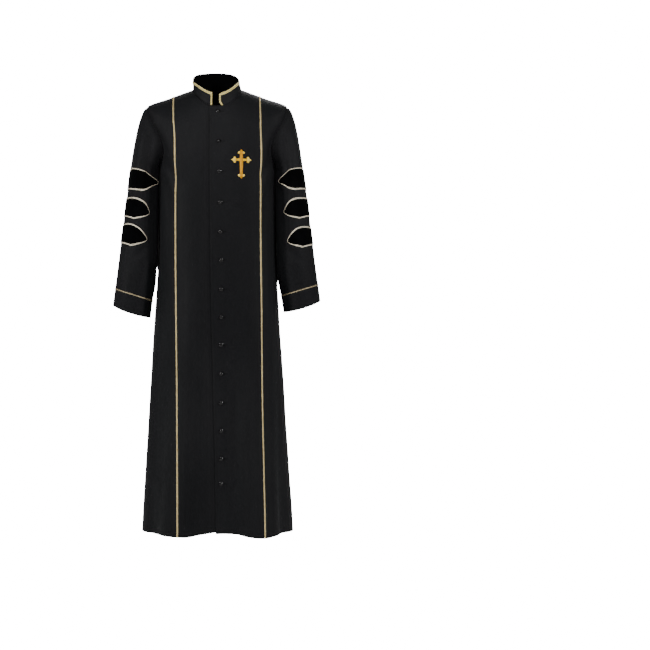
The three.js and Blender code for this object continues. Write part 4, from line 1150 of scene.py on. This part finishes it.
def make_button(name, centre, normal, sides=40):
    """A button turned round the cloth's outward direction at its centre."""
    profile = button_profile()
    helper = np.array([0, 0, 1.0]) if abs(normal[2]) < 0.9 else np.array([1.0, 0, 0])
    right = unit(np.cross(helper, normal))
    above = np.cross(normal, right)
    turn = np.linspace(0, 2 * math.pi, sides, endpoint=False)
    ring = np.cos(turn)[:, None] * right + np.sin(turn)[:, None] * above
    corners = [centre + normal * profile[0, 1]]
    for radius, height in profile[1:-1]:
        corners += list(centre + ring * radius + normal * height)
    corners.append(centre + normal * profile[-1, 1])
    faces = [[0, 1 + (k + 1) % sides, 1 + k] for k in range(sides)]
    for level in range(len(profile) - 3):
        low, high = 1 + level * sides, 1 + (level + 1) * sides
        faces += [[low + k, low + (k + 1) % sides, high + (k + 1) % sides, high + k] for k in range(sides)]
    last, top = 1 + (len(profile) - 3) * sides, len(corners) - 1
    faces += [[last + k, last + (k + 1) % sides, top] for k in range(sides)]
    return mesh_piece(name, corners, faces)


heights = np.array(BUTTON_HEIGHTS, float)
button_places, button_normals = on_front(button_x(heights), heights)
for k, (centre, normal) in enumerate(zip(button_places, button_normals), 1):
    make_button(f"button_dome_{k:02d}", centre, normal)
print("buttons:", len(button_places), "from", np.round(button_places[0]), "to", np.round(button_places[-1]))

# %% Work the buttonholes
HOLE_FROM_BUTTON, HOLE_STITCHES = 11.0, 24
HOLE_OUTER, HOLE_SLIT = (7.6, 1.1), (6.9, 0.3)  # half the length and half the width


def buttonhole(name, z):
    """A narrow oval of raised thread round a slit, from the button away from the edge of the lap."""
    turn = np.linspace(0, 2 * math.pi, 72, endpoint=False)
    stitch = np.abs(np.sin(turn * HOLE_STITCHES))
    (centre,), (normal,) = on_front(float(button_x(z)) + HOLE_FROM_BUTTON, z)
    side = unit(np.cross(normal, [0, 0, 1.0]))
    side = side * np.sign(side[0])
    up = np.cross(side, normal)
    up = up * np.sign(up[2])

    def lay(size, off):
        x, height = size[0] * power(np.cos(turn), 0.6), size[1] * power(np.sin(turn), 0.8)
        return centre + side * x[:, None] + up * height[:, None] + normal * (off + 0 * turn)[:, None]

    ridge = ((HOLE_OUTER[0] + HOLE_SLIT[0]) / 2, (HOLE_OUTER[1] + HOLE_SLIT[1]) / 2)
    rings = [
        lay(HOLE_OUTER, 0.05), lay(ridge, 0.25 + 0.15 * stitch), lay(HOLE_SLIT, 0.15),
        lay(HOLE_SLIT, -0.2), lay(HOLE_OUTER, -0.2),
    ]
    count = len(turn)
    faces = []
    for r in range(len(rings)):
        low, high = r * count, (r + 1) % len(rings) * count
        faces += [[low + k, low + (k + 1) % count, high + (k + 1) % count, high + k] for k in range(count)]
    return mesh_piece(name, np.concatenate(rings), faces)


for k, z in enumerate(BUTTON_HEIGHTS, 1):
    buttonhole(f"buttonhole_{k:02d}", float(z))

# %% [markdown]
# ## The cross
# The cross on the wearer's left breast is worked in gold thread. It is a budded cross: every arm ends in a
# point between two small leaves. Its form is described by distances. At each spot of a fine raster we know
# how deep inside the outline it lies, which gives both the clean edge and the domed height of padded satin
# stitch.

# %% The cross as a distance
CROSS = {"x": 73.0, "z": -230.0, "width": 62.5, "height": 91.0, "fall": 32.5}
STEM, ARM, BUD = 10.2 / 2, 8.0 / 2, 6.9  # half the stem's and the arms' width, and the size of a leaf
# A leaf and the point beyond it: places back from the end in leaves, and half widths in arms plus leaves.
LEAF = [(2.2, 0.8, 0), (2.05, 1, 0.62), (1.62, 1, 0.86), (1.2, 1, 0.62), (0.86, 0.86, 0), (0.5, 0.5, 0)]


def cross_outline():
    """The outline round the middle of the cross, four arms with a point and two leaves each."""
    arms = [
        (0, CROSS["width"] / 2, ARM, STEM), (90, CROSS["fall"], STEM, ARM),
        (180, CROSS["width"] / 2, ARM, STEM), (270, CROSS["height"] - CROSS["fall"], STEM, ARM),
    ]
    corners = []
    for turn, long, half, side in arms:
        leaf = [(long - back * BUD, half * wide + BUD * out) for back, wide, out in LEAF]
        shape = [(side, half), *leaf, (long, 0.0)]
        shape = [(a, -b) for a, b in shape] + shape[-2::-1]
        c, s = math.cos(math.radians(turn)), math.sin(math.radians(turn))
        corners += [(a * c - b * s, a * s + b * c) for a, b in shape]
    return np.array(corners)


def inside_depth(points, outline):
    """Distance of points from the outline, above zero inside it, and the nearest outline point."""
    best = np.full(len(points), 1e9)
    nearest = np.zeros_like(points)
    crossings = np.zeros(len(points), int)
    for a, b in zip(outline, np.roll(outline, -1, 0)):
        run = b - a
        t = np.clip(((points - a) @ run) / max(run @ run, 1e-9), 0, 1)
        foot = a + t[:, None] * run
        off = np.linalg.norm(points - foot, axis=-1)
        closer = off < best
        best, nearest = np.where(closer, off, best), np.where(closer[:, None], foot, nearest)
        spans = (a[1] > points[:, 1]) != (b[1] > points[:, 1])
        at = a[0] + (points[:, 1] - a[1]) / np.where(abs(run[1]) < 1e-9, 1e-9, run[1]) * run[0]
        crossings += spans & (points[:, 0] < at)
    return np.where(crossings % 2 == 1, best, -best), nearest


# %% Embroider the cross
CROSS_STEP = 0.6
PADDING, PADDED_OVER = 1.7, 4.2  # height of the stitches' dome, and how far inside the outline it is full
CROSS_LIFT, CROSS_BACK = 0.5, 0.1


def under_cross(low, high, spots):
    """The cloth's surface and outward direction under spots of the cross."""
    coarse_x, coarse_z = np.linspace(low[0], high[0], 12), np.linspace(low[1], high[1], 16)
    cx, cz = np.meshgrid(coarse_x, coarse_z)
    surface, normal = on_front(CROSS["x"] + cx.ravel(), CROSS["z"] + cz.ravel())
    surface, normal = surface.reshape(*cx.shape, 3), normal.reshape(*cx.shape, 3)
    column = (spots[:, 0] - coarse_x[0]) / (coarse_x[1] - coarse_x[0])
    row = (spots[:, 1] - coarse_z[0]) / (coarse_z[1] - coarse_z[0])
    return on_grid(surface, row, column), unit(on_grid(normal, row, column))


def rim_of(quads):
    """The edges that belong to one face only, in the order in which the faces go round."""
    edges = {}
    for quad in quads:
        for a, b in zip(quad, quad[1:] + quad[:1]):
            if (b, a) in edges:
                del edges[(b, a)]
            else:
                edges[(a, b)] = True
    return list(edges)


def make_cross():
    """The cross as a domed wall over the cells of a raster, drawn onto its outline along the edge."""
    outline = cross_outline()
    low, high = outline.min(0) - CROSS_STEP * 2, outline.max(0) + CROSS_STEP * 2
    xs, zs = np.arange(low[0], high[0], CROSS_STEP), np.arange(low[1], high[1], CROSS_STEP)
    raster = np.stack(np.meshgrid(xs, zs), -1)
    depth, nearest = inside_depth(raster.reshape(-1, 2), outline)
    depth, nearest = depth.reshape(raster.shape[:2]), nearest.reshape(raster.shape)
    margin = CROSS_STEP * 0.55
    inside = depth > -margin
    snap = np.abs(depth) < margin
    spot = np.where(snap[..., None], nearest, raster)
    depth = np.where(snap, 0.0, np.maximum(depth, 0))
    cells = inside[:-1, :-1] & inside[1:, :-1] & inside[:-1, 1:] & inside[1:, 1:]
    used = np.pad(cells, ((0, 1), (0, 1))) | np.pad(cells, ((1, 0), (0, 1)))
    used |= np.pad(cells, ((0, 1), (1, 0))) | np.pad(cells, ((1, 0), (1, 0)))
    number = -np.ones(inside.shape, int)
    number[used] = np.arange(used.sum())
    spots, depths = spot[used], depth[used]
    base, away = under_cross(low, high, spots)
    dome = np.sqrt(np.clip(1 - (1 - np.minimum(depths / PADDED_OVER, 1)) ** 2, 0, 1))
    outer, inner = base + away * (PADDING * dome + CROSS_LIFT)[:, None], base + away * CROSS_BACK
    count = len(spots)
    i, j = np.nonzero(cells)
    quads = np.stack([number[i, j], number[i, j + 1], number[i + 1, j + 1], number[i + 1, j]], -1)
    faces = quads.tolist() + (quads[:, ::-1] + count).tolist()
    faces += [[b, a, a + count, b + count] for a, b in rim_of(quads.tolist())]
    both, flat = np.concatenate([outer, inner]), np.concatenate([spots, spots])
    return mesh_piece("cross_embroidery", both, faces, flat)


cross = make_cross()
print("cross faces", len(cross.data.polygons))

# %% [markdown]
# ## Finishes
# Every finish is built from the same few effects, and each effect is a shader node group that is made once.
# A group only works out how colour, roughness or height change over the surface. The shader itself stays in
# the material, with the values that are the same all over set on its own sockets.

# %% Node helpers
SOCKETS = {"float": "NodeSocketFloat", "colour": "NodeSocketColor", "vector": "NodeSocketVector"}


def new_group(name, inputs, outputs):
    """A shader node group with named inputs (name, kind, default) and outputs (name, kind)."""
    group = bpy.data.node_groups.new(name, "ShaderNodeTree")
    for label, kind, default in inputs:
        socket = group.interface.new_socket(name=label, in_out="INPUT", socket_type=SOCKETS[kind])
        if default is not None:
            socket.default_value = default
    for label, kind in outputs:
        group.interface.new_socket(name=label, in_out="OUTPUT", socket_type=SOCKETS[kind])
    return group, group.nodes.new("NodeGroupInput"), group.nodes.new("NodeGroupOutput")


def node(tree, kind, settings=None, values=None):
    """A node with some of its settings and some of its input values."""
    made = tree.nodes.new(kind)
    for key, value in (settings or {}).items():
        setattr(made, key, value)
    for key, value in (values or {}).items():
        made.inputs[key].default_value = value
    return made


def join(tree, *pairs):
    for source, target in pairs:
        tree.links.new(source, target)


def place(tree, group, values=None):
    """One of the groups below, placed in a material with its own values."""
    return node(tree, "ShaderNodeGroup", {"node_tree": group}, values)


def maths(tree, operation, a, b=None, clamp=False):
    """A Math node on sockets or plain numbers; returns its result."""
    made = node(tree, "ShaderNodeMath", {"operation": operation, "use_clamp": clamp})
    for k, value in enumerate((a, b)):
        if value is None:
            continue
        if isinstance(value, (int, float)):
            made.inputs[k].default_value = value
        else:
            tree.links.new(value, made.inputs[k])
    return made.outputs[0]


def blended(tree, factor, first, second):
    """A colour that goes from first to second with a factor."""
    made = node(tree, "ShaderNodeMix", {"data_type": "RGBA"})
    for socket, value in ((made.inputs[0], factor), (made.inputs[6], first), (made.inputs[7], second)):
        if isinstance(value, (tuple, float, int)):
            socket.default_value = value
        else:
            tree.links.new(value, socket)
    return made.outputs[2]


# %% [markdown]
# **Twill.** Gabardine is a steep twill: fine diagonal ribs, here 0.9 mm apart, each made of threads that
# cross it. The group turns the flat map of the cloth by the twill's angle, makes ribs and threads with two
# wave patterns, and lets a fine noise thicken some threads.

# %% Twill group
TWILL_ANGLE = math.radians(63)


def waves_of(tree, socket, rate):
    """The height of waves along a value, from 0 between them to 1 on top."""
    return maths(tree, "ABSOLUTE", maths(tree, "SINE", maths(tree, "MULTIPLY", socket, rate)))


def noisy(tree, socket, amount):
    """A noise of about 0.5 as a push to either side, times an amount."""
    return maths(tree, "MULTIPLY", maths(tree, "SUBTRACT", socket, 0.5), amount)


def make_twill():
    group, given, result = new_group(
        "Twill weave",
        [("Flat", "vector", None), ("Ribs per metre", "float", 1100.0), ("Slub", "float", 0.3)],
        [("Height", "float"), ("Shade", "float")],
    )
    turned = node(group, "ShaderNodeMapping", {"vector_type": "POINT"}, {"Rotation": (0, 0, TWILL_ANGLE)})
    flat = node(group, "ShaderNodeVectorMath", {"operation": "SCALE"})
    join(group, (given.outputs["Flat"], turned.inputs["Vector"]), (turned.outputs[0], flat.inputs[0]),
         (given.outputs["Ribs per metre"], flat.inputs["Scale"]))
    parts = node(group, "ShaderNodeSeparateXYZ")
    join(group, (flat.outputs[0], parts.inputs[0]))
    rib = waves_of(group, parts.outputs["X"], math.pi)
    thread = waves_of(group, parts.outputs["Y"], math.pi * 1.6)
    noise = node(group, "ShaderNodeTexNoise", None, {"Scale": 0.21, "Detail": 3.0, "Roughness": 0.6})
    join(group, (flat.outputs[0], noise.inputs["Vector"]))
    slub = noisy(group, noise.outputs[0], given.outputs["Slub"])
    woven = maths(group, "ADD", maths(group, "MULTIPLY", rib, 0.62), maths(group, "MULTIPLY", thread, 0.22))
    height = maths(group, "ADD", woven, slub)
    join(group, (height, result.inputs["Height"]))
    # Shade is lighter on the ribs and darker in the grooves between them: painted shade.
    shade = maths(group, "ADD", maths(group, "MULTIPLY", height, 0.55), 0.55)
    join(group, (shade, result.inputs["Shade"]))
    return group


TWILL = make_twill()

# %% [markdown]
# ** Handling.** Even new cloth isn't one flat colour. Where it has been handled or pressed it lies a little smoother and lighter, in soft clouds that run with the grain. This group gives those clouds as a mask between 0 and 1, at a size that the material chooses. The cloth, the velvet's pile, the buttons' scuffs and the floor all use it. On the cloth the clouds are large and strong, and there they are partly handling and partly painted shade and sheen of the broad soft folds.

# %% Handling and fold shade group
def soft_step(tree, socket, first, after):
    """A mask that eases from 0 to 1 while a value goes from first to after."""
    ends = {"From Min": first, "From Max": after}
    ramp = node(tree, "ShaderNodeMapRange", {"interpolation_type": "SMOOTHSTEP"}, ends)
    join(tree, (socket, ramp.inputs["Value"]))
    return ramp.outputs[0]


def make_handling_and_shade():
    group, given, result = new_group(
        "Handling and shade clouds",
        [("Place", "vector", None), ("Per metre", "float", 7.0), ("Upright stretch", "float", 2.5)],
        [("Mask", "float")],
    )
    parts, whole = node(group, "ShaderNodeSeparateXYZ"), node(group, "ShaderNodeCombineXYZ")
    join(group, (given.outputs["Place"], parts.inputs[0]), (parts.outputs["X"], whole.inputs["X"]),
         (parts.outputs["Y"], whole.inputs["Y"]))
    upright = maths(group, "DIVIDE", parts.outputs["Z"], given.outputs["Upright stretch"])
    join(group, (upright, whole.inputs["Z"]))
    noise = node(group, "ShaderNodeTexNoise", None, {"Detail": 4.0, "Roughness": 0.55})
    join(group, (whole.outputs[0], noise.inputs["Vector"]))
    join(group, (given.outputs["Per metre"], noise.inputs["Scale"]))
    join(group, (soft_step(group, noise.outputs[0], 0.32, 0.68), result.inputs["Mask"]))
    return group


HANDLING_AND_SHADE = make_handling_and_shade()


def clouded(tree, per_metre, stretch=1.0):
    """The mask of handling clouds in a material, laid out in the robe's own space; on the cloth it also paints
    fold shade.
    """
    clouds = place(tree, HANDLING_AND_SHADE, {"Per metre": per_metre, "Upright stretch": stretch})
    join(tree, (node(tree, "ShaderNodeTexCoord").outputs["Object"], clouds.inputs["Place"]))
    return clouds.outputs["Mask"]


# %% [markdown]
# ** Thread.** Braid and embroidery are metal thread: bright where it faces the light, with painted shade, a dark brown, in the gaps between the strands. The group draws strands across the work at a chosen spacing and gives their height, and a mask that is 1 on top of a strand and 0 in the gap.

# %% Thread group
def make_thread():
    group, given, result = new_group(
        "Metal thread",
        [("Flat", "vector", None), ("Strands per metre", "float", 1800.0),
         ("Slant", "float", 0.0), ("Uneven", "float", 0.35)],
        [("Height", "float"), ("On top", "float"), ("Tint", "float")],
    )
    parts = node(group, "ShaderNodeSeparateXYZ")
    join(group, (given.outputs["Flat"], parts.inputs[0]))
    noise = node(group, "ShaderNodeTexNoise", None, {"Scale": 260.0, "Detail": 2.0})
    join(group, (given.outputs["Flat"], noise.inputs["Vector"]))
    aside = maths(group, "MULTIPLY", parts.outputs["X"], given.outputs["Slant"])
    leaning = maths(group, "ADD", parts.outputs["Y"], aside)
    strands = maths(group, "MULTIPLY", leaning, given.outputs["Strands per metre"])
    wander = noisy(group, noise.outputs[0], given.outputs["Uneven"])
    wave = waves_of(group, maths(group, "ADD", strands, wander), math.pi)
    join(group, (wave, result.inputs["Height"]), (maths(group, "POWER", wave, 0.6), result.inputs["On top"]))
    tint = node(group, "ShaderNodeTexNoise", None, {"Scale": 90.0, "Detail": 3.0, "Roughness": 0.7})
    join(group, (given.outputs["Flat"], tint.inputs["Vector"]), (tint.outputs[0], result.inputs["Tint"]))
    return group


THREAD = make_thread()

# %% [markdown]
# ### Black gabardine
# The cloth is a dull black with a faint cool cast, with painted shade in the grooves between its ribs and broad
# clouds that are partly handling and partly painted fold shade. A weak, broad shine lifts the shoulders and the
# turned edges out of the black, as the fine fibres of a real worsted do. Its inner faces, seen inside the
# collar and the cuffs, take a still blacker copy of the cloth: painted shade for the little light that gets in
# there.

# %% Gabardine
def new_material(name):
    """An empty material with a Principled surface; returns it, its node tree and the surface."""
    material = bpy.data.materials.new(name)
    material.use_nodes = True
    tree = material.node_tree
    tree.nodes.clear()
    surface, end = tree.nodes.new("ShaderNodeBsdfPrincipled"), tree.nodes.new("ShaderNodeOutputMaterial")
    tree.links.new(surface.outputs[0], end.inputs["Surface"])
    return material, tree, surface


def fixed(surface, values):
    """Values that are the same all over the surface."""
    for key, value in values.items():
        surface.inputs[key].default_value = value


def grey(level, blue=None):
    """A neutral colour, or one with a little more blue."""
    return (level, level, level if blue is None else blue, 1)


def bumped(tree, surface, height, distance, strength):
    bump = node(tree, "ShaderNodeBump", None, {"Strength": strength, "Distance": distance})
    join(tree, (height, bump.inputs["Height"]), (bump.outputs[0], surface.inputs["Normal"]))


def gabardine(name, low, high, groove_shade, shine):
    """The cloth: its darkest and lightest tone, set far apart so that the clouds between them paint fold shade
    and sheen as well as handling, the painted shade in the grooves between its ribs, and how much it shines.
    """
    material, tree, surface = new_material(name)
    flat = node(tree, "ShaderNodeUVMap", {"uv_map": "flat_cloth"})
    twill = place(tree, TWILL, {"Ribs per metre": 1100.0, "Slub": 0.3})
    join(tree, (flat.outputs[0], twill.inputs["Flat"]))
    # Large, strong clouds: partly handling, partly painted shade and sheen of broad soft folds.
    clouds = clouded(tree, 5.0, 3.2)
    # The grooves of the twill take the painted shade colour.
    colour = blended(tree, twill.outputs["Shade"], groove_shade, blended(tree, clouds, low, high))
    rough = maths(tree, "SUBTRACT", 0.7, maths(tree, "MULTIPLY", clouds, 0.08))
    join(tree, (colour, surface.inputs["Base Color"]), (rough, surface.inputs["Roughness"]))
    fixed(surface, {"Specular IOR Level": shine, "Sheen Weight": shine / 10})
    fixed(surface, {"Sheen Roughness": 0.55, "Sheen Tint": (0.8, 0.82, 0.86, 1)})
    bumped(tree, surface, twill.outputs["Height"], 0.00012, 0.6)
    return material


# Its darkest and lightest tone lie far apart, to paint fold shade and sheen as well as handling.
GABARDINE = gabardine(
    "Black gabardine", grey(0.0028, 0.0034), grey(0.0056, 0.0063), grey(0.0021, 0.0025), 0.085,
)
# A darker copy of the cloth for the inner faces: painted shade, not a different cloth.
INSIDE_SHADE = gabardine(
    "Painted shade inside the gabardine", grey(0.0009, 0.001), grey(0.0013, 0.0014), grey(0.0006), 0.01,
)

# %% [markdown]
# ### Velvet
# Velvet is blacker than the cloth, because light falls in between its upright fibres and hardly comes out
# again. It lights up a little where it turns away, which a trace of sheen does. Slow changes in the way the
# pile lies are drawn by the handling clouds, and the pile itself by the same clouds, made very small.

# %% Velvet
def varied(tree, surface, mask, low, high, smooth, rougher):
    """Colour and roughness that both change with a mask."""
    rough = maths(tree, "ADD", smooth, maths(tree, "MULTIPLY", mask, rougher))
    join(tree, (blended(tree, mask, low, high), surface.inputs["Base Color"]))
    join(tree, (rough, surface.inputs["Roughness"]))


def velvet():
    material, tree, surface = new_material("Black velvet")
    varied(tree, surface, clouded(tree, 30.0, 1.4), grey(0.0004, 0.0005), grey(0.0012, 0.0015), 0.9, 0.08)
    fixed(surface, {"Specular IOR Level": 0.02, "Sheen Weight": 0.007, "Sheen Roughness": 0.3})
    bumped(tree, surface, clouded(tree, 900.0), 0.0003, 0.5)
    return material


VELVET = velvet()

# %% [markdown]
# ### Gilt braid and gold embroidery
# Both are metal thread. Threads wrapped with metal foil are only partly metallic, so the base colour still
# shows in the shade. The stripes are a warm antique gilt, the braid round the bars is paler, almost silver, and
# the cuffs' is duller. The collar's is near white at its lightest, a painted highlight, and painted shade is
# drawn in the furrow between its plaits. The cross is a deeper orange gold on its stem, and its arms and leaves
# are painted paler towards their ends, a painted highlight for the light that their stitches, laid the other
# way, catch.

# %% Gilt and gold
THREAD_ROUGH, THREAD_HEIGHT, THREAD_SHINE = 0.38, 0.0003, 0.12


def off_middle(tree, flat, first, after):
    """A mask that goes from 0 on the middle line of the work to 1 beside it."""
    parts = node(tree, "ShaderNodeSeparateXYZ")
    join(tree, (flat.outputs[0], parts.inputs[0]))
    return soft_step(tree, maths(tree, "ABSOLUTE", parts.outputs["X"]), first, after)


def painted_arm_highlight(tree, flat, colour, start, full, near, far):
    """Painted highlight on the cross's arms beside its stem, from the colour near its middle to the paler one
    at its ends.
    """
    away = node(tree, "ShaderNodeVectorMath", {"operation": "LENGTH"})
    join(tree, (flat.outputs[0], away.inputs[0]))
    arm = blended(tree, soft_step(tree, away.outputs["Value"], 0.014, 0.030), near, far)
    return blended(tree, off_middle(tree, flat, start, full), colour, arm)


def plaited(tree, flat, colour, long, furrow, shade):
    """Painted shade between the plaits of a braid, and in the furrow along its middle."""
    ribs = place(tree, THREAD, {"Strands per metre": 1 / long, "Slant": 1.0, "Uneven": 0.2})
    join(tree, (flat.outputs[0], ribs.inputs["Flat"]))
    beside = off_middle(tree, flat, furrow / 2, furrow * 1.6)
    return blended(tree, maths(tree, "MULTIPLY", ribs.outputs["Height"], beside), shade, colour)


def metal_thread(name, gap_shade, low, high, strands, slant, metallic, plaits=None, arms=None):
    """Metal thread: the painted shade between its strands, its darkest and lightest tint, and how it is laid.
    """
    material, tree, surface = new_material(name)
    flat = node(tree, "ShaderNodeUVMap", {"uv_map": "flat_cloth"})
    thread = place(tree, THREAD, {"Strands per metre": strands, "Slant": slant})
    join(tree, (flat.outputs[0], thread.inputs["Flat"]))
    colour = blended(tree, thread.outputs["Tint"], low, high)
    # The cross's arms get a painted highlight, paler towards their ends.
    if arms:
        colour = painted_arm_highlight(tree, flat, colour, *arms)
    if plaits:
        colour = plaited(tree, flat, colour, *plaits)
    top = thread.outputs["On top"]
    rough = maths(tree, "SUBTRACT", THREAD_ROUGH + 0.18, maths(tree, "MULTIPLY", top, 0.22))
    # Between the strands the base colour is the painted shade.
    join(tree, (blended(tree, top, gap_shade, colour), surface.inputs["Base Color"]))
    join(tree, (rough, surface.inputs["Roughness"]))
    fixed(surface, {"Metallic": metallic, "Specular IOR Level": THREAD_SHINE})
    bumped(tree, surface, thread.outputs["Height"], THREAD_HEIGHT, 0.7)
    return material


GILT = metal_thread(
    "Gilt braid", (0.07, 0.04, 0.015, 1), (0.34, 0.25, 0.10, 1), (0.86, 0.72, 0.39, 1), 1500.0, 0.6, 0.45,
)
PALE_GILT = metal_thread(
    "Pale gilt braid", (0.08, 0.06, 0.04, 1), (0.42, 0.36, 0.25, 1), (0.95, 0.88, 0.72, 1), 1500.0, 0.6, 0.4,
)
DULL_GILT = metal_thread(
    "Dull gilt braid", (0.05, 0.03, 0.015, 1), (0.21, 0.165, 0.095, 1), (0.46, 0.39, 0.25, 1),
    1500.0, 0.6, 0.4,
)
# Near white at its lightest: a painted highlight on the collar's braid, with painted shade in its furrow.
COLLAR_GILT = metal_thread(
    "Collar gilt with painted highlight", (0.30, 0.20, 0.04, 1), (1.0, 0.80, 0.25, 1), (1.0, 1.0, 0.56, 1), 1300.0, 0.5, 0.2,
    plaits=(0.0075, 0.0006, (0.16, 0.09, 0.01, 1)),
)
# The cross: deep orange gold, with paler arms as painted highlight.
GOLD = metal_thread(
    "Gold embroidery", (0.16, 0.06, 0.002, 1), (0.36, 0.145, 0.001, 1), (0.68, 0.31, 0.003, 1),
    2200.0, 0.15, 0.2, arms=(0.0038, 0.0056, (0.74, 0.43, 0.016, 1), (0.95, 0.70, 0.13, 1)),
)

# %% [markdown]
# ### Buttons and black thread
# The buttons are a polished black resin. A thin clear coat over a smooth base gives the deep shine of jet,
# and small scuffs break it. The buttonholes are worked in a black twist that is as dull as the cloth.

# %% Resin and twist
def resin():
    material, tree, surface = new_material("Polished black resin")
    varied(tree, surface, clouded(tree, 420.0), grey(0.0006, 0.0007), grey(0.0014), 0.08, 0.06)
    fixed(surface, {"Specular IOR Level": 0.22, "Coat Weight": 0.14, "Coat Roughness": 0.05})
    return material


def twist():
    material, tree, surface = new_material("Black silk twist")
    clouds = clouded(tree, 600.0)
    colour = blended(tree, clouds, grey(0.0016, 0.0018), grey(0.0030, 0.0034))
    join(tree, (colour, surface.inputs["Base Color"]))
    fixed(surface, {"Roughness": 0.7, "Specular IOR Level": 0.06})
    bumped(tree, surface, clouds, 0.0002, 0.5)
    return material


RESIN, TWIST = resin(), twist()

# %% [markdown]
# ## Dress the model
# Now each piece takes the place of its solid in the imported model, rides on the robe and gets its finish. For
# the panels, sleeves and collar the size of the cloth that each is cut from is printed.

# %% Put on and measure
def wear(piece_name, material, slot, *nodes, inside_shade=None):
    """Gives a piece its finish, lets it ride on the robe and puts it in place of its solids."""
    piece = made_pieces[piece_name]
    piece.data.materials.append(material)
    # The inner faces take the darker copy of the cloth, as painted shade.
    if inside_shade is not None:
        piece.data.materials.append(inside_shade)
        first, after = inner_faces[piece_name]
        which = np.zeros(len(piece.data.polygons), np.int32)
        which[first:after] = 1
        piece.data.polygons.foreach_set("material_index", which)
    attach(piece, "root")
    if nodes:
        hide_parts(*nodes)


for name in list(panels) + list(sleeves) + ["collar"]:
    wear(name + "_cloth", GABARDINE, "cloth", name, inside_shade=INSIDE_SHADE)
for side in ("left", "right"):
    wear("stripe_braid_" + side, GILT, "braid", "stripe_" + side)
    wear("cuff_trim_" + side, DULL_GILT, "braid", "cuff_braid_" + side)
    for k in (1, 2, 3):
        wear(f"velvet_{side}_{k}", VELVET, "velvet", f"bar_{side}_{k}")
        wear(f"bar_trim_{side}_{k}", PALE_GILT, "braid", f"bar_braid_{side}_{k}")
wear("collar_trim", COLLAR_GILT, "braid", "collar_braid")
wear("cross_embroidery", GOLD, "embroidery", "cross")
for k in BUTTONS:
    wear(f"button_dome_{k:02d}", RESIN, "buttons", f"button_{k:02d}")
    wear(f"buttonhole_{k:02d}", TWIST, "cloth")
print("pieces:", len(made_pieces))


def measured(grid):
    """Longest row, longest column and area of a grid, in metres and square metres."""
    across, up = along_grid(grid, 1)[:, -1].max(), along_grid(grid, 0)[-1].max()
    near, far = grid[:-1, :-1], grid[1:, 1:]
    halves = [np.cross(grid[1:, :-1] - corner, grid[:-1, 1:] - corner) for corner in (near, far)]
    area = sum(np.linalg.norm(half, axis=-1).sum() for half in halves) / 2
    return round(float(across) / 1000, 3), round(float(up) / 1000, 3), round(float(area) / 1e6, 4)


for name, form in {**panels, **sleeves, "collar": collar}.items():
    grid = form["points"]
    if name in sleeves:
        grid = np.concatenate([grid, grid[:, :1]], 1)
    print("cut of", name, measured(grid))


# %% [markdown]
# ## Floor, light and camera
# The floor is a pale sweep that curves up behind the robe. Broad soft lights stand above the camera and
# behind the robe, as for a catalogue picture. Two smaller ones at the sides draw a pair of glints on each
# button. Floor and sky glow for the camera only: the background is white, and no extra light falls on the
# black cloth.

# %% Sweep
FLOOR, BEND_START, BEND = -1.42, 6.2, 1.4
GLOW, SKY = 17.0, 0.16


def make_sweep():
    """The floor and, beyond a bend, the wall behind the robe, in metres."""
    turns = np.linspace(0, math.pi / 2, 16)[1:]
    profile = [(-7.0, FLOOR), (BEND_START, FLOOR)]
    profile += [(BEND_START + BEND * math.sin(t), FLOOR + BEND - BEND * math.cos(t)) for t in turns]
    profile += [(BEND_START + BEND, 6.5)]
    corners = [(x, y, z) for y, z in profile for x in (-8.0, 8.0)]
    faces = [(2 * k, 2 * k + 1, 2 * k + 3, 2 * k + 2) for k in range(len(profile) - 1)]
    mesh = bpy.data.meshes.new("sweep")
    mesh.from_pydata(corners, [], faces)
    mesh.shade_smooth()
    sweep = bpy.data.objects.new("sweep", mesh)
    bpy.context.scene.collection.objects.link(sweep)
    material, tree, surface = new_material("Pale floor")
    join(tree, (blended(tree, clouded(tree, 0.8), grey(0.90), grey(0.93)), surface.inputs["Base Color"]))
    seen = node(tree, "ShaderNodeLightPath")
    glow = maths(tree, "MULTIPLY", seen.outputs["Is Camera Ray"], GLOW)
    join(tree, (glow, surface.inputs["Emission Strength"]))
    fixed(surface, {"Roughness": 0.9, "Emission Color": grey(1)})
    mesh.materials.append(material)


make_sweep()


# %% Lights
def softbox(name, stand, aim, size, watts):
    """A rectangular light at a place, turned towards another."""
    light = bpy.data.lights.new(name, "AREA")
    light.shape, light.size, light.size_y, light.energy = "RECTANGLE", size[0], size[1], watts
    lamp = bpy.data.objects.new(name, light)
    lamp.location = stand
    run = np.array(aim, float) - np.array(stand, float)
    tilt, turn = math.atan2(math.hypot(run[0], run[1]), -run[2]), math.atan2(run[1], run[0]) - math.pi / 2
    lamp.rotation_euler = (tilt, 0, turn)
    bpy.context.scene.collection.objects.link(lamp)


softbox("key", (-0.5, -2.9, 1.9), (0, 0, -0.3), (3.0, 1.9), 96)
softbox("left_fill", (-2.9, -1.8, 0.8), (0, 0, -0.4), (0.35, 0.6), 104)
softbox("right_fill", (2.9, -1.8, 0.8), (0, 0, -0.4), (0.35, 0.6), 96)
softbox("back_key", (0.6, 3.4, 2.4), (0, 0, -0.4), (2.4, 1.5), 190)

world = bpy.data.worlds.new("studio")
world.use_nodes = True
sky = world.node_tree
background = sky.nodes["Background"]
background.inputs[0].default_value = (1, 1, 1, 1)
path = node(sky, "ShaderNodeLightPath")
glow = maths(sky, "MULTIPLY", path.outputs["Is Camera Ray"], GLOW)
join(sky, (maths(sky, "ADD", SKY, glow), background.inputs[1]))
bpy.context.scene.world = world

# %% Camera
camera_data = bpy.data.cameras.new("camera")
camera_data.sensor_width, camera_data.lens, camera_data.shift_x = 36.0, 71.0, 0.1658
camera = bpy.data.objects.new("camera", camera_data)
camera.location, camera.rotation_euler = (0, -4.0, -0.730), (math.radians(90), 0, 0)
bpy.context.scene.collection.objects.link(camera)
bpy.context.scene.camera = camera
